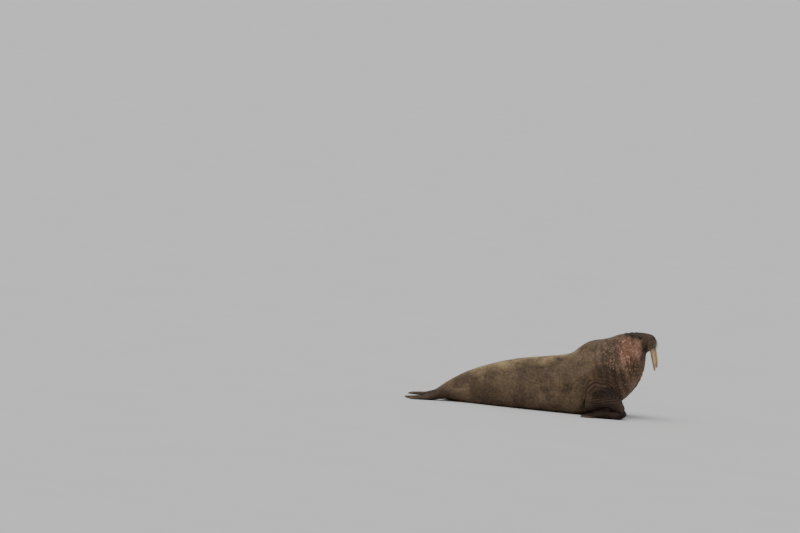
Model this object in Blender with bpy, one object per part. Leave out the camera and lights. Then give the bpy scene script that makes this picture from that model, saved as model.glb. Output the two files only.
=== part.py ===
"""A life-size model of an adult male Atlantic walrus, hauled out on its belly with its chest propped on its
fore flippers and its head raised, as one closed skin that is then parted by thin cuts into named pieces.

Frame: metres, +X towards the head, +Z up, the animal's right side towards -Y. The floor is z = 0.
"""

import math

import bmesh
import bpy
import numpy as np
from mathutils import Matrix, Vector

# Overall sizes
PARTING_GAP = 0.0004
SOCKET_GAP = 0.0004
ORIGIN_SHIFT = 0.793
REMESH_SIZE = 0.009
FLOOR_SNAP = 0.0025
RING_POINTS = 28
LIMB_POINTS = 12
SKIN_LEVELS = 2
TRIANGLE_BUDGET = 5200

# The head's turn to the right and its roll, in radians, which fade out down the neck
NECK_LEAN = 0.31
TURN_RANGE = (0.40, 0.72)
TURN_PIVOT = 0.60
HEAD_TURN = math.radians(8.0)
HEAD_ROLL = math.radians(4.0)
HEAD_AXIS_HEIGHT = 1.13

# Tusks, on the left side before the head is turned: sections from root to tip as a share of the way and a size
TUSK_ROOT = (0.913, 0.073, 1.118)
TUSK_TIP = (1.009, 0.095, 0.740)
TUSK_TIP_SHORTER = 0.018
TUSK_BOW = 0.008
TUSK_FORE_RADIUS = 0.033
TUSK_SIDE_RADIUS = 0.026
TUSK_POINTS = 12
TUSK_PROFILE = [
    (0.00, 0.96), (0.14, 1.00), (0.30, 0.97), (0.46, 0.90), (0.62, 0.80), (0.76, 0.67), (0.87, 0.53),
    (0.95, 0.37), (0.985, 0.22), (1.00, 0.08),
]

# Eyes
EYE_CENTRE = (0.750, 0.138, 1.216)
EYE_RADIUS = 0.019

# A limb's node is what lies in its region: convex stretches of its sections, squarer, larger and set out
REGION_ROOM = 0.056
REGION_OUTWARD = 0.023
REGION_POWER = 0.45
REGION_AHEAD = 0.10
REGION_STEP = 0.003
FORE_STRETCHES = [(0, 10), (4, 13)]
HIND_STRETCHES = [(0, 9)]

TRUNK_NAMES = ["tail", "hindquarters", "trunk", "chest", "neck", "head", "snout"]
MOUTH_POINT = (0.900, -0.030, 1.0547)

# Colour and roughness by the first word of a node's name
LOOKS = {
    "skin": ((0.150, 0.105, 0.072), 0.62),
    "chest": ((0.170, 0.105, 0.078), 0.62),
    "neck": ((0.250, 0.135, 0.105), 0.60),
    "head": ((0.085, 0.062, 0.050), 0.58),
    "muzzle": ((0.075, 0.056, 0.046), 0.58),
    "lower": ((0.110, 0.070, 0.065), 0.58),
    "fore": ((0.062, 0.044, 0.036), 0.66),
    "hind": ((0.070, 0.050, 0.040), 0.66),
    "tusk": ((0.560, 0.470, 0.320), 0.36),
    "eye": ((0.018, 0.012, 0.010), 0.06),
}

# Parting walls across the trunk, from the tail forwards: a point on each, its lean and its turn
TRUNK_CUTS = [
    ((-2.085, 0.0, 0.120), 0.0, 0.0),
    ((-1.450, 0.0, 0.300), 0.0, 0.0),
    ((-0.110, 0.0, 0.450), math.radians(-12.0), 0.0),
    ((0.640, 0.0, 0.800), math.radians(-22.0), 0.0),
    ((0.708, 0.0, 1.120), math.radians(-17.0), -HEAD_TURN),
    ((0.858, 0.0, 1.120), math.radians(-6.0), -HEAD_TURN),
]

# The trunk, neck and head are a loft. Each station is a section that leans with the spine: the point on the
# back, the point on the belly, the half width, the height of the widest level as a share, and how square the
# section is above and below that level, where 1 is an ellipse and less is squarer.
STATIONS = [
    # name          back x, z        belly x, z      half    level  above  below
    ("tail_tip", -2.185, 0.150, -2.185, 0.060, 0.045, 0.50, 0.90, 0.90),
    ("tail_root", -2.120, 0.205, -2.120, 0.035, 0.090, 0.48, 0.90, 0.85),
    ("rump", -2.020, 0.285, -2.020, 0.005, 0.165, 0.46, 0.92, 0.80),
    ("hips", -1.890, 0.375, -1.890, -0.015, 0.236, 0.44, 0.95, 0.76),
    ("pelvis", -1.740, 0.462, -1.740, -0.022, 0.301, 0.43, 0.95, 0.74),
    ("loin", -1.540, 0.555, -1.540, -0.025, 0.359, 0.42, 0.95, 0.72),
    ("flank", -1.310, 0.641, -1.310, -0.025, 0.405, 0.41, 0.95, 0.72),
    ("hind_belly", -1.070, 0.710, -1.070, -0.025, 0.442, 0.41, 0.95, 0.72),
    ("belly", -0.830, 0.757, -0.830, -0.025, 0.467, 0.41, 0.95, 0.72),
    ("mid_trunk", -0.600, 0.797, -0.580, -0.025, 0.481, 0.41, 0.95, 0.72),
    ("ribs", -0.400, 0.834, -0.350, -0.025, 0.488, 0.41, 0.95, 0.72),
    ("dip", -0.258, 0.862, -0.170, -0.024, 0.490, 0.41, 0.95, 0.72),
    ("fold", -0.172, 0.944, -0.040, -0.020, 0.487, 0.42, 0.95, 0.74),
    ("withers", -0.075, 1.038, 0.085, -0.010, 0.481, 0.43, 0.95, 0.78),
    ("shoulder", 0.035, 1.096, 0.215, 0.028, 0.470, 0.44, 0.95, 0.82),
    ("brisket", 0.150, 1.121, 0.350, 0.090, 0.456, 0.45, 0.95, 0.86),
    ("breast", 0.260, 1.146, 0.482, 0.170, 0.435, 0.46, 0.95, 0.90),
    ("chest", 0.355, 1.190, 0.605, 0.270, 0.407, 0.47, 0.95, 0.92),
    ("neck_root", 0.440, 1.229, 0.702, 0.385, 0.376, 0.48, 0.95, 0.94),
    ("neck_low", 0.515, 1.250, 0.775, 0.515, 0.343, 0.48, 0.95, 0.95),
    ("neck_mid", 0.580, 1.260, 0.822, 0.650, 0.306, 0.48, 0.95, 0.96),
    ("neck_high", 0.638, 1.268, 0.836, 0.775, 0.264, 0.47, 0.94, 0.96),
    ("throat", 0.690, 1.272, 0.836, 0.878, 0.224, 0.46, 0.92, 0.96),
    ("jaw_angle", 0.735, 1.275, 0.836, 0.944, 0.178, 0.46, 0.90, 0.95),
    ("eye_line", 0.775, 1.276, 0.848, 0.972, 0.149, 0.45, 0.86, 0.90),
    ("cheek", 0.812, 1.272, 0.868, 0.990, 0.141, 0.44, 0.84, 0.88),
    ("muzzle_root", 0.848, 1.268, 0.890, 1.008, 0.140, 0.43, 0.84, 0.86),
    ("pad_back", 0.884, 1.264, 0.915, 1.026, 0.146, 0.42, 0.86, 0.86),
    ("pad_middle", 0.920, 1.252, 0.942, 1.044, 0.142, 0.42, 0.88, 0.88),
    ("pad_front", 0.946, 1.220, 0.956, 1.060, 0.120, 0.42, 0.90, 0.90),
    ("nose_end", 0.962, 1.182, 0.966, 1.086, 0.078, 0.42, 0.90, 0.90),
]

# Front flippers, given for the left side and mirrored for the right: the arm leaves the flank, comes down to a
# heel on the floor, and the hand turns back and out. Each section has its centre, the direction across it towards
# the leading edge, the half breadth and the half thickness.
FORE_HOLE_RINGS = (13, 16)
FORE_HOLE_POINTS = (4, 7)
FORE_SECTIONS = [
    ((0.250, 0.438, 0.350), (0.97, 0.10, 0.22), 0.222, 0.102),
    ((0.278, 0.464, 0.262), (0.95, 0.12, 0.26), 0.255, 0.114),
    ((0.335, 0.482, 0.192), (0.93, 0.18, 0.32), 0.242, 0.118),
    ((0.455, 0.490, 0.140), (0.80, 0.48, 0.28), 0.190, 0.114),
    ((0.540, 0.500, 0.116), (0.45, 0.88, 0.10), 0.150, 0.102),
    ((0.560, 0.508, 0.080), (0.34, 0.94, 0.00), 0.146, 0.090),
    ((0.505, 0.520, 0.052), (0.32, 0.95, 0.00), 0.148, 0.076),
    ((0.395, 0.544, 0.060), (0.32, 0.95, 0.00), 0.156, 0.066),
    ((0.270, 0.576, 0.050), (0.32, 0.95, 0.00), 0.170, 0.054),
    ((0.165, 0.612, 0.034), (0.32, 0.95, 0.00), 0.178, 0.037),
    ((0.082, 0.652, 0.022), (0.32, 0.95, 0.00), 0.170, 0.023),
    ((0.022, 0.673, 0.014), (0.32, 0.95, 0.00), 0.150, 0.013),
]
FORE_SLANT = 0.46
FAR_FORE_SHIFT = -0.075
FORE_WRIST = (0.500, 0.515, 0.150)
FORE_DIGIT_TIPS = [(0.008, 0.808), (-0.002, 0.738), (0.012, 0.672), (0.034, 0.612), (0.062, 0.560)]

# Hind flippers, given in the same way: short shanks out of the rump, and fans that trail flat on the floor.
HIND_HOLE_RINGS = (2, 4)
HIND_HOLE_POINTS = (3, 7)
HIND_SECTIONS = [
    ((-1.985, 0.272, 0.142), (0.46, 0.88, -0.05), 0.116, 0.106),
    ((-2.075, 0.315, 0.112), (0.42, 0.91, -0.03), 0.110, 0.088),
    ((-2.165, 0.352, 0.072), (0.38, 0.92, 0.00), 0.108, 0.066),
    ((-2.250, 0.386, 0.042), (0.36, 0.93, 0.00), 0.120, 0.046),
    ((-2.335, 0.418, 0.027), (0.36, 0.93, 0.00), 0.144, 0.032),
    ((-2.425, 0.452, 0.019), (0.36, 0.93, 0.00), 0.168, 0.024),
    ((-2.510, 0.484, 0.013), (0.36, 0.93, 0.00), 0.182, 0.018),
    ((-2.565, 0.504, 0.009), (0.36, 0.93, 0.00), 0.176, 0.012),
]
HIND_SLANT = 0.0
HIND_ANKLE = (-2.190, 0.362, 0.090)
HIND_DIGIT_TIPS = [(-2.520, 0.655), (-2.555, 0.578), (-2.570, 0.502), (-2.580, 0.425), (-2.590, 0.345)]
DIGIT_HALF_WIDTH = 0.030


def signed_power(value, power):
    return math.copysign(abs(value) ** power, value)


def ring_of(station):
    """The points of one trunk section, from the belly up the left side, over the back and down the right."""
    _, back_x, back_z, belly_x, belly_z, half, level, above, below = station
    lift = math.log(level) / math.log(0.5)
    points = []
    for k in range(RING_POINTS):
        angle = math.tau * k / RING_POINTS - math.pi / 2
        power = above if math.sin(angle) > 0 else below
        share = ((1 + signed_power(math.sin(angle), power)) / 2) ** lift
        across = half * signed_power(math.cos(angle), power)
        x = belly_x + (back_x - belly_x) * share
        points.append(Vector((x, across, belly_z + (back_z - belly_z) * share)))
    return points


def cap_with_grid(bm, ring, bulge):
    """Closes a trunk ring with a grid of quads, six across and eight up, pushed out by bulge along X."""
    across, up = 6, 8
    start = -across // 2
    grid = {}
    for i in range(across + 1):
        grid[i, 0] = ring[start + i]
        grid[i, up] = ring[start + 2 * across + up - i]
    for j in range(up + 1):
        grid[0, j] = ring[start - j]
        grid[across, j] = ring[start + across + j]
    for i in range(1, across):
        for j in range(1, up):
            u, v = i / across, j / up
            sides = grid[0, j].co * (1 - u) + grid[across, j].co * u
            ends = grid[i, 0].co * (1 - v) + grid[i, up].co * v
            dome = 16 * u * (1 - u) * v * (1 - v)
            grid[i, j] = bm.verts.new((sides + ends) / 2 + Vector((bulge * dome, 0, 0)))
    for i in range(across):
        for j in range(up):
            corners = [grid[i, j], grid[i + 1, j], grid[i + 1, j + 1], grid[i, j + 1]]
            bm.faces.new(corners)


def limb_rings(sections, slant, shift, side, power=0.85):
    """The points of each section of a limb. The tip's leading edge reaches on by slant times the half breadth."""
    centres = [Vector(section[0]) for section in sections]
    rings = []
    for n, (centre, across, half_breadth, half_thickness) in enumerate(sections):
        heading = centres[min(n + 1, len(centres) - 1)] - centres[max(n - 1, 0)]
        across = Vector(across).normalized()
        thick = across.cross(heading).normalized()
        heading = thick.cross(across)
        reach = slant * half_breadth * (n / (len(sections) - 1)) ** 2
        ring = []
        for k in range(LIMB_POINTS):
            angle = math.tau * k / LIMB_POINTS
            share = signed_power(math.cos(angle), power)
            point = Vector(centre) + across * (half_breadth * share) + heading * (reach * share)
            point += thick * (half_thickness * signed_power(math.sin(angle), power))
            ring.append(Vector((point.x + shift, point.y * side, point.z)))
        rings.append(ring)
    return rings


def matched(rim, loop):
    """The rim's points in the order and direction that lie nearest to the loop's points."""
    count = len(loop)
    turns = [(step, way) for step in range(count) for way in (1, -1)]

    def spread(turn):
        step, way = turn
        return sum((rim[(step + way * k) % count].co - loop[k].co).length_squared for k in range(count))

    step, way = min(turns, key=spread)
    return [rim[(step + way * k) % count] for k in range(count)]


def join_loops(bm, first, second):
    """Joins two loops of as many points with quads."""
    for k in range(len(first)):
        n = (k + 1) % len(first)
        bm.faces.new([first[k], first[n], second[n], second[k]])


def close_limb(bm, ring):
    """Closes the flat tip of a limb with quads from its upper side to its lower side."""
    count = len(ring)
    for k in range(count // 2):
        corners = [ring[k], ring[k + 1], ring[count - k - 1], ring[(count - k) % count]]
        bm.faces.new(list(dict.fromkeys(corners)))


def add_limb(bm, rings, hole_rings, hole_points, side, points):
    """Grows a limb from the hole left in the trunk's side."""
    (first, last), (low, high) = hole_rings, hole_points

    def trunk_point(i, j):
        return rings[i][j if side > 0 else (RING_POINTS - j) % RING_POINTS]

    rim = [trunk_point(i, low) for i in range(first, last)]
    rim += [trunk_point(last, j) for j in range(low, high)]
    rim += [trunk_point(i, high) for i in range(last, first, -1)]
    rim += [trunk_point(first, j) for j in range(high, low, -1)]
    loops = [[bm.verts.new(point) for point in ring] for ring in points]
    loops.insert(0, matched(rim, loops[0]))
    for first_loop, second_loop in zip(loops, loops[1:]):
        join_loops(bm, first_loop, second_loop)
    close_limb(bm, loops[-1])


def in_hole(i, j):
    """Whether the trunk's quad between rings i and i + 1 and points j and j + 1 makes way for a limb."""
    for (first, last), (low, high) in (
        (FORE_HOLE_RINGS, FORE_HOLE_POINTS),
        (HIND_HOLE_RINGS, HIND_HOLE_POINTS),
    ):
        if first <= i < last and (low <= j < high or RING_POINTS - high <= j < RING_POINTS - low):
            return True
    return False


def walrus_cage():
    """The whole animal as a coarse cage of quads, for Subdivision Surface to round."""
    bm = bmesh.new()
    rings = [[bm.verts.new(point) for point in ring_of(station)] for station in STATIONS]
    for i in range(len(rings) - 1):
        for j in range(RING_POINTS):
            if in_hole(i, j):
                continue
            n = (j + 1) % RING_POINTS
            bm.faces.new([rings[i][j], rings[i][n], rings[i + 1][n], rings[i + 1][j]])
    cap_with_grid(bm, rings[0], -0.012)
    cap_with_grid(bm, rings[-1], 0.008)
    for side in (1, -1):
        fore = limb_rings(FORE_SECTIONS, FORE_SLANT, 0.0, side)
        hind = limb_rings(HIND_SECTIONS, HIND_SLANT, 0.0, side)
        add_limb(bm, rings, FORE_HOLE_RINGS, FORE_HOLE_POINTS, side, fore)
        add_limb(bm, rings, HIND_HOLE_RINGS, HIND_HOLE_POINTS, side, hind)
    bmesh.ops.recalc_face_normals(bm, faces=bm.faces)
    mesh = bpy.data.meshes.new("walrus")
    bm.to_mesh(mesh)
    bm.free()
    return mesh


FORE_LIMB = (FORE_SECTIONS, FORE_SLANT, FAR_FORE_SHIFT, FORE_STRETCHES)
HIND_LIMB = (HIND_SECTIONS, HIND_SLANT, 0.0, HIND_STRETCHES)


def smooth_step(low, high, value):
    share = np.clip((value - low) / (high - low), 0.0, 1.0)
    return share * share * (3.0 - 2.0 * share)


def falloff(distance):
    """The strength of a brush: 1 at its middle and 0 from its rim outwards."""
    return 1.0 - smooth_step(0.0, 1.0, distance)


def folded(points):
    """The points with the right side laid over the left one."""
    return np.column_stack((points[:, 0], np.abs(points[:, 1]), points[:, 2]))


def swell(points, centre, radii, push):
    """Moves what lies near a centre by push. Both are given for the left side and act on both sides."""
    offset = (folded(points) - np.array(centre)) / np.array(radii)
    move = falloff(np.linalg.norm(offset, axis=1))[:, None] * np.array(push)
    move[:, 1] *= np.sign(points[:, 1])
    return points + move


def distance_to_path(points, path):
    """How far each point, laid over on the left side, is from a line through the path's corners."""
    nearest = np.full(len(points), np.inf)
    for corner, following in zip(path, path[1:]):
        corner = np.array(corner)
        along = np.array(following) - corner
        offset = folded(points) - corner
        share = np.clip(offset @ along / (along @ along), 0.0, 1.0)
        nearest = np.minimum(nearest, np.linalg.norm(offset - share[:, None] * along, axis=1))
    return nearest


def groove(points, normals, path, radius, depth, lip=0.25):
    """Presses in a fold along a path and raises its rims a little. A negative depth makes a ridge."""
    distance = distance_to_path(points, path) / radius
    profile = falloff(distance) - lip * falloff(np.abs(distance - 1.1) / 0.7)
    return points - normals * (depth * profile)[:, None]


def shape_head(points, normals):
    """The muzzle's two pads, the narrow lower jaw, the mouth, the nose and the swellings round the eyes."""
    beneath = smooth_step(1.082, 1.030, points[:, 2]) * smooth_step(0.795, 0.880, points[:, 0])
    points = points * np.column_stack((np.ones(len(points)), 1.0 - 0.40 * beneath, np.ones(len(points))))
    points = swell(points, (0.925, 0.088, 1.135), (0.090, 0.100, 0.115), (0.006, 0.020, -0.004))
    points = swell(points, (0.945, 0.075, 1.085), (0.060, 0.075, 0.055), (0.000, 0.004, -0.014))
    points = swell(points, (0.955, 0.000, 1.232), (0.050, 0.060, 0.045), (0.006, 0.000, 0.008))
    points = swell(points, (0.742, 0.150, 1.224), (0.052, 0.060, 0.040), (0.003, 0.012, 0.006))
    points = swell(points, (0.735, 0.105, 1.262), (0.060, 0.050, 0.040), (0.000, 0.010, 0.007))
    points = swell(points, (0.812, 0.150, 1.205), (0.048, 0.060, 0.050), (0.000, -0.013, 0.000))
    points = swell(points, (0.690, 0.190, 1.180), (0.070, 0.080, 0.080), (0.000, -0.008, 0.000))
    middle = [(0.975, 0.0, 1.200), (0.990, 0.0, 1.150), (0.985, 0.0, 1.090), (0.955, 0.0, 1.050)]
    points = groove(points, normals, middle, 0.034, 0.014)
    mouth = [(0.838, 0.122, 1.048), (0.872, 0.108, 1.050), (0.905, 0.084, 1.054), (0.925, 0.045, 1.058),
             (0.930, 0.000, 1.060)]
    points = groove(points, normals, mouth, 0.026, 0.014, 0.10)
    return points


def shape_body(points, normals):
    """The shoulder, elbow and heel, the rump, and the large folds of the elbow, the arm pit and the neck."""
    points = swell(points, (0.240, 0.490, 0.620), (0.380, 0.260, 0.300), (0.000, 0.022, 0.000))
    points = swell(points, (0.250, 0.520, 0.395), (0.200, 0.140, 0.130), (-0.006, 0.032, 0.006))
    points = swell(points, (0.560, 0.500, 0.085), (0.150, 0.200, 0.105), (0.078, 0.000, -0.010))
    points = swell(points, (0.120, 0.480, 0.165), (0.170, 0.170, 0.150), (-0.050, 0.036, -0.048))
    points = swell(points, (0.200, 0.500, 0.115), (0.170, 0.180, 0.080), (0.000, 0.030, -0.062))
    points = swell(points, (-1.720, 0.230, 0.400), (0.220, 0.160, 0.160), (0.000, 0.014, 0.012))
    elbow = [(0.020, 0.540, 0.300), (0.075, 0.560, 0.440), (0.200, 0.570, 0.520), (0.350, 0.550, 0.510),
             (0.450, 0.520, 0.430)]
    points = groove(points, normals, elbow, 0.070, 0.018)
    pit = [(-0.090, 0.500, 0.200), (-0.040, 0.540, 0.420), (0.080, 0.560, 0.590), (0.260, 0.560, 0.640)]
    points = groove(points, normals, pit, 0.060, 0.010)
    arm = [(0.120, 0.460, 0.300), (0.080, 0.450, 0.180), (0.030, 0.440, 0.080)]
    points = groove(points, normals, arm, 0.070, 0.020)
    for t in (0.0, 0.085, 0.165):
        ring = [(0.470 + t, 0.0, 1.245), (0.520 + t, 0.230, 1.150), (0.600 + t, 0.330, 0.900),
                (0.680 + t * 0.7, 0.240, 0.640), (0.750 + t * 0.5, 0.000, 0.520 + t)]
        points = groove(points, normals, ring, 0.038, 0.007)
    return points


def shape_digits(points, normals):
    """Five ridges on each flipper, from the wrist or ankle to the tips, and tips that reach a little further."""
    for root, tips in ((FORE_WRIST, FORE_DIGIT_TIPS), (HIND_ANKLE, HIND_DIGIT_TIPS)):
        for tip_x, tip_y in tips:
            path = [root, (tip_x, tip_y, 0.025)]
            points = groove(points, normals, path, DIGIT_HALF_WIDTH, -0.008, 0.5)
            along = np.array((tip_x, tip_y)) - np.array(root[:2])
            push = along / np.linalg.norm(along) * 0.016
            points = swell(points, (tip_x, tip_y, 0.014), (0.050, 0.034, 0.050), (push[0], push[1], 0.0))
    return points


def settle(points):
    """Lays whatever would sink below the floor flat on it."""
    points[:, 2] = np.maximum(points[:, 2], 0.0)
    return points


def pose(points):
    """Turns the head a little to the right with its right side lower, and sets the left fore flipper back."""
    lean = points[:, 0] + NECK_LEAN * (points[:, 2] - 1.27)
    share = smooth_step(*TURN_RANGE, lean)
    roll = share * HEAD_ROLL
    side, height = points[:, 1].copy(), points[:, 2] - HEAD_AXIS_HEIGHT
    points[:, 1] = side * np.cos(roll) - height * np.sin(roll)
    points[:, 2] = HEAD_AXIS_HEIGHT + side * np.sin(roll) + height * np.cos(roll)
    turn = -share * HEAD_TURN
    ahead, side = points[:, 0] - TURN_PIVOT, points[:, 1].copy()
    points[:, 0] = TURN_PIVOT + ahead * np.cos(turn) - side * np.sin(turn)
    points[:, 1] = ahead * np.sin(turn) + side * np.cos(turn)
    reach = smooth_step(0.30, 0.48, points[:, 1]) * smooth_step(0.62, 0.30, points[:, 2])
    reach *= smooth_step(-0.20, -0.02, points[:, 0])
    points[:, 0] += FAR_FORE_SHIFT * reach
    return points


def vertex_data(mesh):
    count = len(mesh.vertices)
    points, normals = np.empty(count * 3), np.empty(count * 3)
    mesh.vertices.foreach_get("co", points)
    mesh.vertices.foreach_get("normal", normals)
    return points.reshape(-1, 3), normals.reshape(-1, 3)


def walrus_object(levels=SKIN_LEVELS):
    """The whole animal as one closed skin in its pose."""
    cage = bpy.data.objects.new("cage", walrus_cage())
    bpy.context.scene.collection.objects.link(cage)
    rounding = cage.modifiers.new("rounding", "SUBSURF")
    rounding.levels = rounding.render_levels = levels
    mesh = bpy.data.meshes.new_from_object(cage.evaluated_get(bpy.context.evaluated_depsgraph_get()))
    bpy.data.objects.remove(cage)
    for shaping in (shape_body, shape_head, shape_digits):
        points, normals = vertex_data(mesh)
        mesh.vertices.foreach_set("co", shaping(points, normals).ravel())
        mesh.update()
    points, _ = vertex_data(mesh)
    mesh.vertices.foreach_set("co", pose(settle(points)).ravel())
    mesh.update()
    return add_object("walrus", mesh)


def head_frame():
    """The turn and roll of the head proper, as one rigid move."""
    roll = Matrix.Translation((0, 0, HEAD_AXIS_HEIGHT)) @ Matrix.Rotation(HEAD_ROLL, 4, "X")
    roll @= Matrix.Translation((0, 0, -HEAD_AXIS_HEIGHT))
    turn = Matrix.Translation((TURN_PIVOT, 0, 0)) @ Matrix.Rotation(-HEAD_TURN, 4, "Z")
    return turn @ Matrix.Translation((-TURN_PIVOT, 0, 0)) @ roll


def add_object(name, mesh):
    made = bpy.data.objects.new(name, mesh)
    bpy.context.scene.collection.objects.link(made)
    return made


def apply_modifiers(target):
    """Makes the modified shape the object's own."""
    shaped = bpy.data.meshes.new_from_object(target.evaluated_get(bpy.context.evaluated_depsgraph_get()))
    target.modifiers.clear()
    target.data = shaped


def combine(target, other, operation):
    """Applies a Boolean of the other object to the target."""
    change = target.modifiers.new("change", "BOOLEAN")
    change.operation = operation
    change.solver = "EXACT"
    change.object = other
    apply_modifiers(target)


def copy_of(original, name):
    return add_object(name, original.data.copy())


def remove(*objects):
    for unwanted in objects:
        bpy.data.objects.remove(unwanted)


def loft(name, rings):
    """A closed solid through rings of as many points each, flat at both ends."""
    bm = bmesh.new()
    loops = [[bm.verts.new(point) for point in ring] for ring in rings]
    for first, second in zip(loops, loops[1:]):
        join_loops(bm, first, second)
    bm.faces.new(loops[0])
    bm.faces.new(loops[-1])
    bmesh.ops.recalc_face_normals(bm, faces=bm.faces)
    mesh = bpy.data.meshes.new(name)
    bm.to_mesh(mesh)
    bm.free()
    return add_object(name, mesh)


def slab(point, lean, turn, thickness=PARTING_GAP, size=3.0):
    """A thin upright wall across X at a point, leaned by lean and turned by turn, for a parting cut."""
    bm = bmesh.new()
    bmesh.ops.create_cube(bm, size=1.0)
    place = Matrix.Translation(point) @ Matrix.Rotation(turn, 4, "Z") @ Matrix.Rotation(lean, 4, "Y")
    bmesh.ops.transform(bm, matrix=place @ Matrix.Diagonal((thickness, size, size, 1.0)), verts=bm.verts)
    mesh = bpy.data.meshes.new("slab")
    bm.to_mesh(mesh)
    bm.free()
    return add_object("slab", mesh)


def cut(target, cutter):
    combine(target, cutter, "DIFFERENCE")
    remove(cutter)


def loose_parts(target, wanted):
    """Splits an object into its separate bodies and keeps the largest wanted ones, the rearmost first."""
    bm = bmesh.new()
    bm.from_mesh(target.data)
    remaining = set(bm.faces)
    parts = []
    while remaining:
        seed = remaining.pop()
        body, edge_of = {seed}, [seed]
        while edge_of:
            for corner in edge_of.pop().verts:
                for face in corner.link_faces:
                    if face in remaining:
                        remaining.remove(face)
                        body.add(face)
                        edge_of.append(face)
        faces = sorted(body, key=lambda face: face.index)
        index = {}
        for face in faces:
            for vert in face.verts:
                index.setdefault(vert, len(index))
        mesh = bpy.data.meshes.new("part")
        corners = [[index[vert] for vert in face.verts] for face in faces]
        mesh.from_pydata([vert.co for vert in index], [], corners)
        parts.append(add_object("part", mesh))
    bm.free()
    remove(target)
    parts.sort(key=body_volume, reverse=True)
    remove(*parts[wanted:])
    return sorted(parts[:wanted], key=middle)


def body_volume(part):
    bm = bmesh.new()
    bm.from_mesh(part.data)
    volume = bm.calc_volume()
    bm.free()
    return volume


def middle(part):
    """How far forward the middle of a part is."""
    return sum(vert.co.x for vert in part.data.vertices) / len(part.data.vertices)


def hull(points):
    """The convex solid round some points."""
    bm = bmesh.new()
    verts = [bm.verts.new(point) for point in points]
    made = bmesh.ops.convex_hull(bm, input=verts)
    unused = set(made["geom_interior"]) | set(made["geom_unused"])
    inside = [item for item in unused if isinstance(item, bmesh.types.BMVert)]
    bmesh.ops.delete(bm, geom=inside, context="VERTS")
    bmesh.ops.recalc_face_normals(bm, faces=bm.faces)
    mesh = bpy.data.meshes.new("hull")
    bm.to_mesh(mesh)
    bm.free()
    return add_object("hull", mesh)


def limb_region(limb, side, margin):
    """The space of a limb's node: a convex solid for each stretch of its enlarged sections, joined as one."""
    sections, slant, shift, stretches = limb
    heading = (Vector(sections[1][0]) - Vector(sections[0][0])).normalized()
    ahead = (Vector(sections[-1][0]) - Vector(sections[-2][0])).normalized() * (REGION_AHEAD + margin)
    region = None
    for first, last in stretches:
        room = REGION_ROOM + margin + (REGION_STEP if region else 0.0)
        enlarged = [((x, y + REGION_OUTWARD, z), across, wide + room, thick + room)
                    for (x, y, z), across, wide, thick in sections]
        rings = limb_rings(enlarged, slant, shift if side > 0 else 0.0, side, REGION_POWER)
        rings[0] = [point - Vector((heading.x, heading.y * side, heading.z)) * margin for point in rings[0]]
        rings.append([point + Vector((ahead.x, ahead.y * side, 0.0)) for point in rings[-1]])
        piece = hull([point for ring in rings[first:last] for point in ring])
        if region:
            combine(region, piece, "UNION")
            remove(piece)
        else:
            region = piece
    return region


def tusk(name, side):
    """A tusk, oval in section, that runs down from its root in the muzzle and bows a little to its tip."""
    length = TUSK_TIP_SHORTER if side > 0 else 0.0
    root, tip = Vector(TUSK_ROOT), Vector(TUSK_TIP) + Vector((-0.25, 0.0, 1.0)) * length
    rings = []
    for share, breadth in TUSK_PROFILE:
        centre = root.lerp(tip, share) + Vector((TUSK_BOW * math.sin(math.pi * share), 0, 0))
        ring = []
        for k in range(TUSK_POINTS):
            angle = math.tau * k / TUSK_POINTS
            fore, across = TUSK_FORE_RADIUS * math.cos(angle), TUSK_SIDE_RADIUS * math.sin(angle)
            point = centre + Vector((fore, across, fore * 0.22)) * breadth
            ring.append(Vector((point.x, point.y * side, point.z)))
        rings.append(ring)
    made = loft(name, rings)
    made.data.transform(head_frame())
    return made


def eye(name, side, radius):
    """An eyeball."""
    bm = bmesh.new()
    bmesh.ops.create_icosphere(bm, subdivisions=2, radius=radius)
    centre = Vector((EYE_CENTRE[0], EYE_CENTRE[1] * side, EYE_CENTRE[2]))
    bmesh.ops.transform(bm, matrix=head_frame() @ Matrix.Translation(centre), verts=bm.verts)
    mesh = bpy.data.meshes.new(name)
    bm.to_mesh(mesh)
    bm.free()
    return add_object(name, mesh)


def socket_for(content, margin):
    """The room that a tusk takes up in its socket: the same shape, larger all round by margin."""
    room = copy_of(content, "room")
    points, normals = vertex_data(room.data)
    room.data.vertices.foreach_set("co", (points + normals * margin).ravel())
    room.data.update()
    return room


def skin_solid():
    """The whole animal as one solid with fewer faces, flat where it rests."""
    whole = walrus_object()
    renew = whole.modifiers.new("renew", "REMESH")
    renew.mode = "VOXEL"
    renew.voxel_size = REMESH_SIZE
    apply_modifiers(whole)
    thin = whole.modifiers.new("thin", "DECIMATE")
    thin.ratio = TRIANGLE_BUDGET / (2 * len(whole.data.polygons))
    apply_modifiers(whole)
    whole = loose_parts(whole, 1)[0]
    points, normals = vertex_data(whole.data)
    underside = (points[:, 2] < FLOOR_SNAP) & (normals[:, 2] < 0.0)
    points[:, 2] = np.where(underside, 0.0, points[:, 2])
    whole.data.vertices.foreach_set("co", points.ravel())
    whole.data.update()
    return whole


def rename(part, name):
    part.name = name
    part.data.name = name
    return part


def take_limb(whole, name, limb, side):
    """Parts one limb from the whole along its own region and returns it."""
    node = copy_of(whole, "limb")
    region = limb_region(limb, side, 0.0)
    combine(node, region, "INTERSECT")
    remove(region)
    cut(whole, limb_region(limb, side, PARTING_GAP))
    return rename(loose_parts(node, 1)[0], name)


def tidy(part):
    """Turns every face into triangles that face out."""
    bm = bmesh.new()
    bm.from_mesh(part.data)
    bmesh.ops.triangulate(bm, faces=bm.faces)
    bmesh.ops.recalc_face_normals(bm, faces=bm.faces)
    bm.to_mesh(part.data)
    bm.free()


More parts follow.
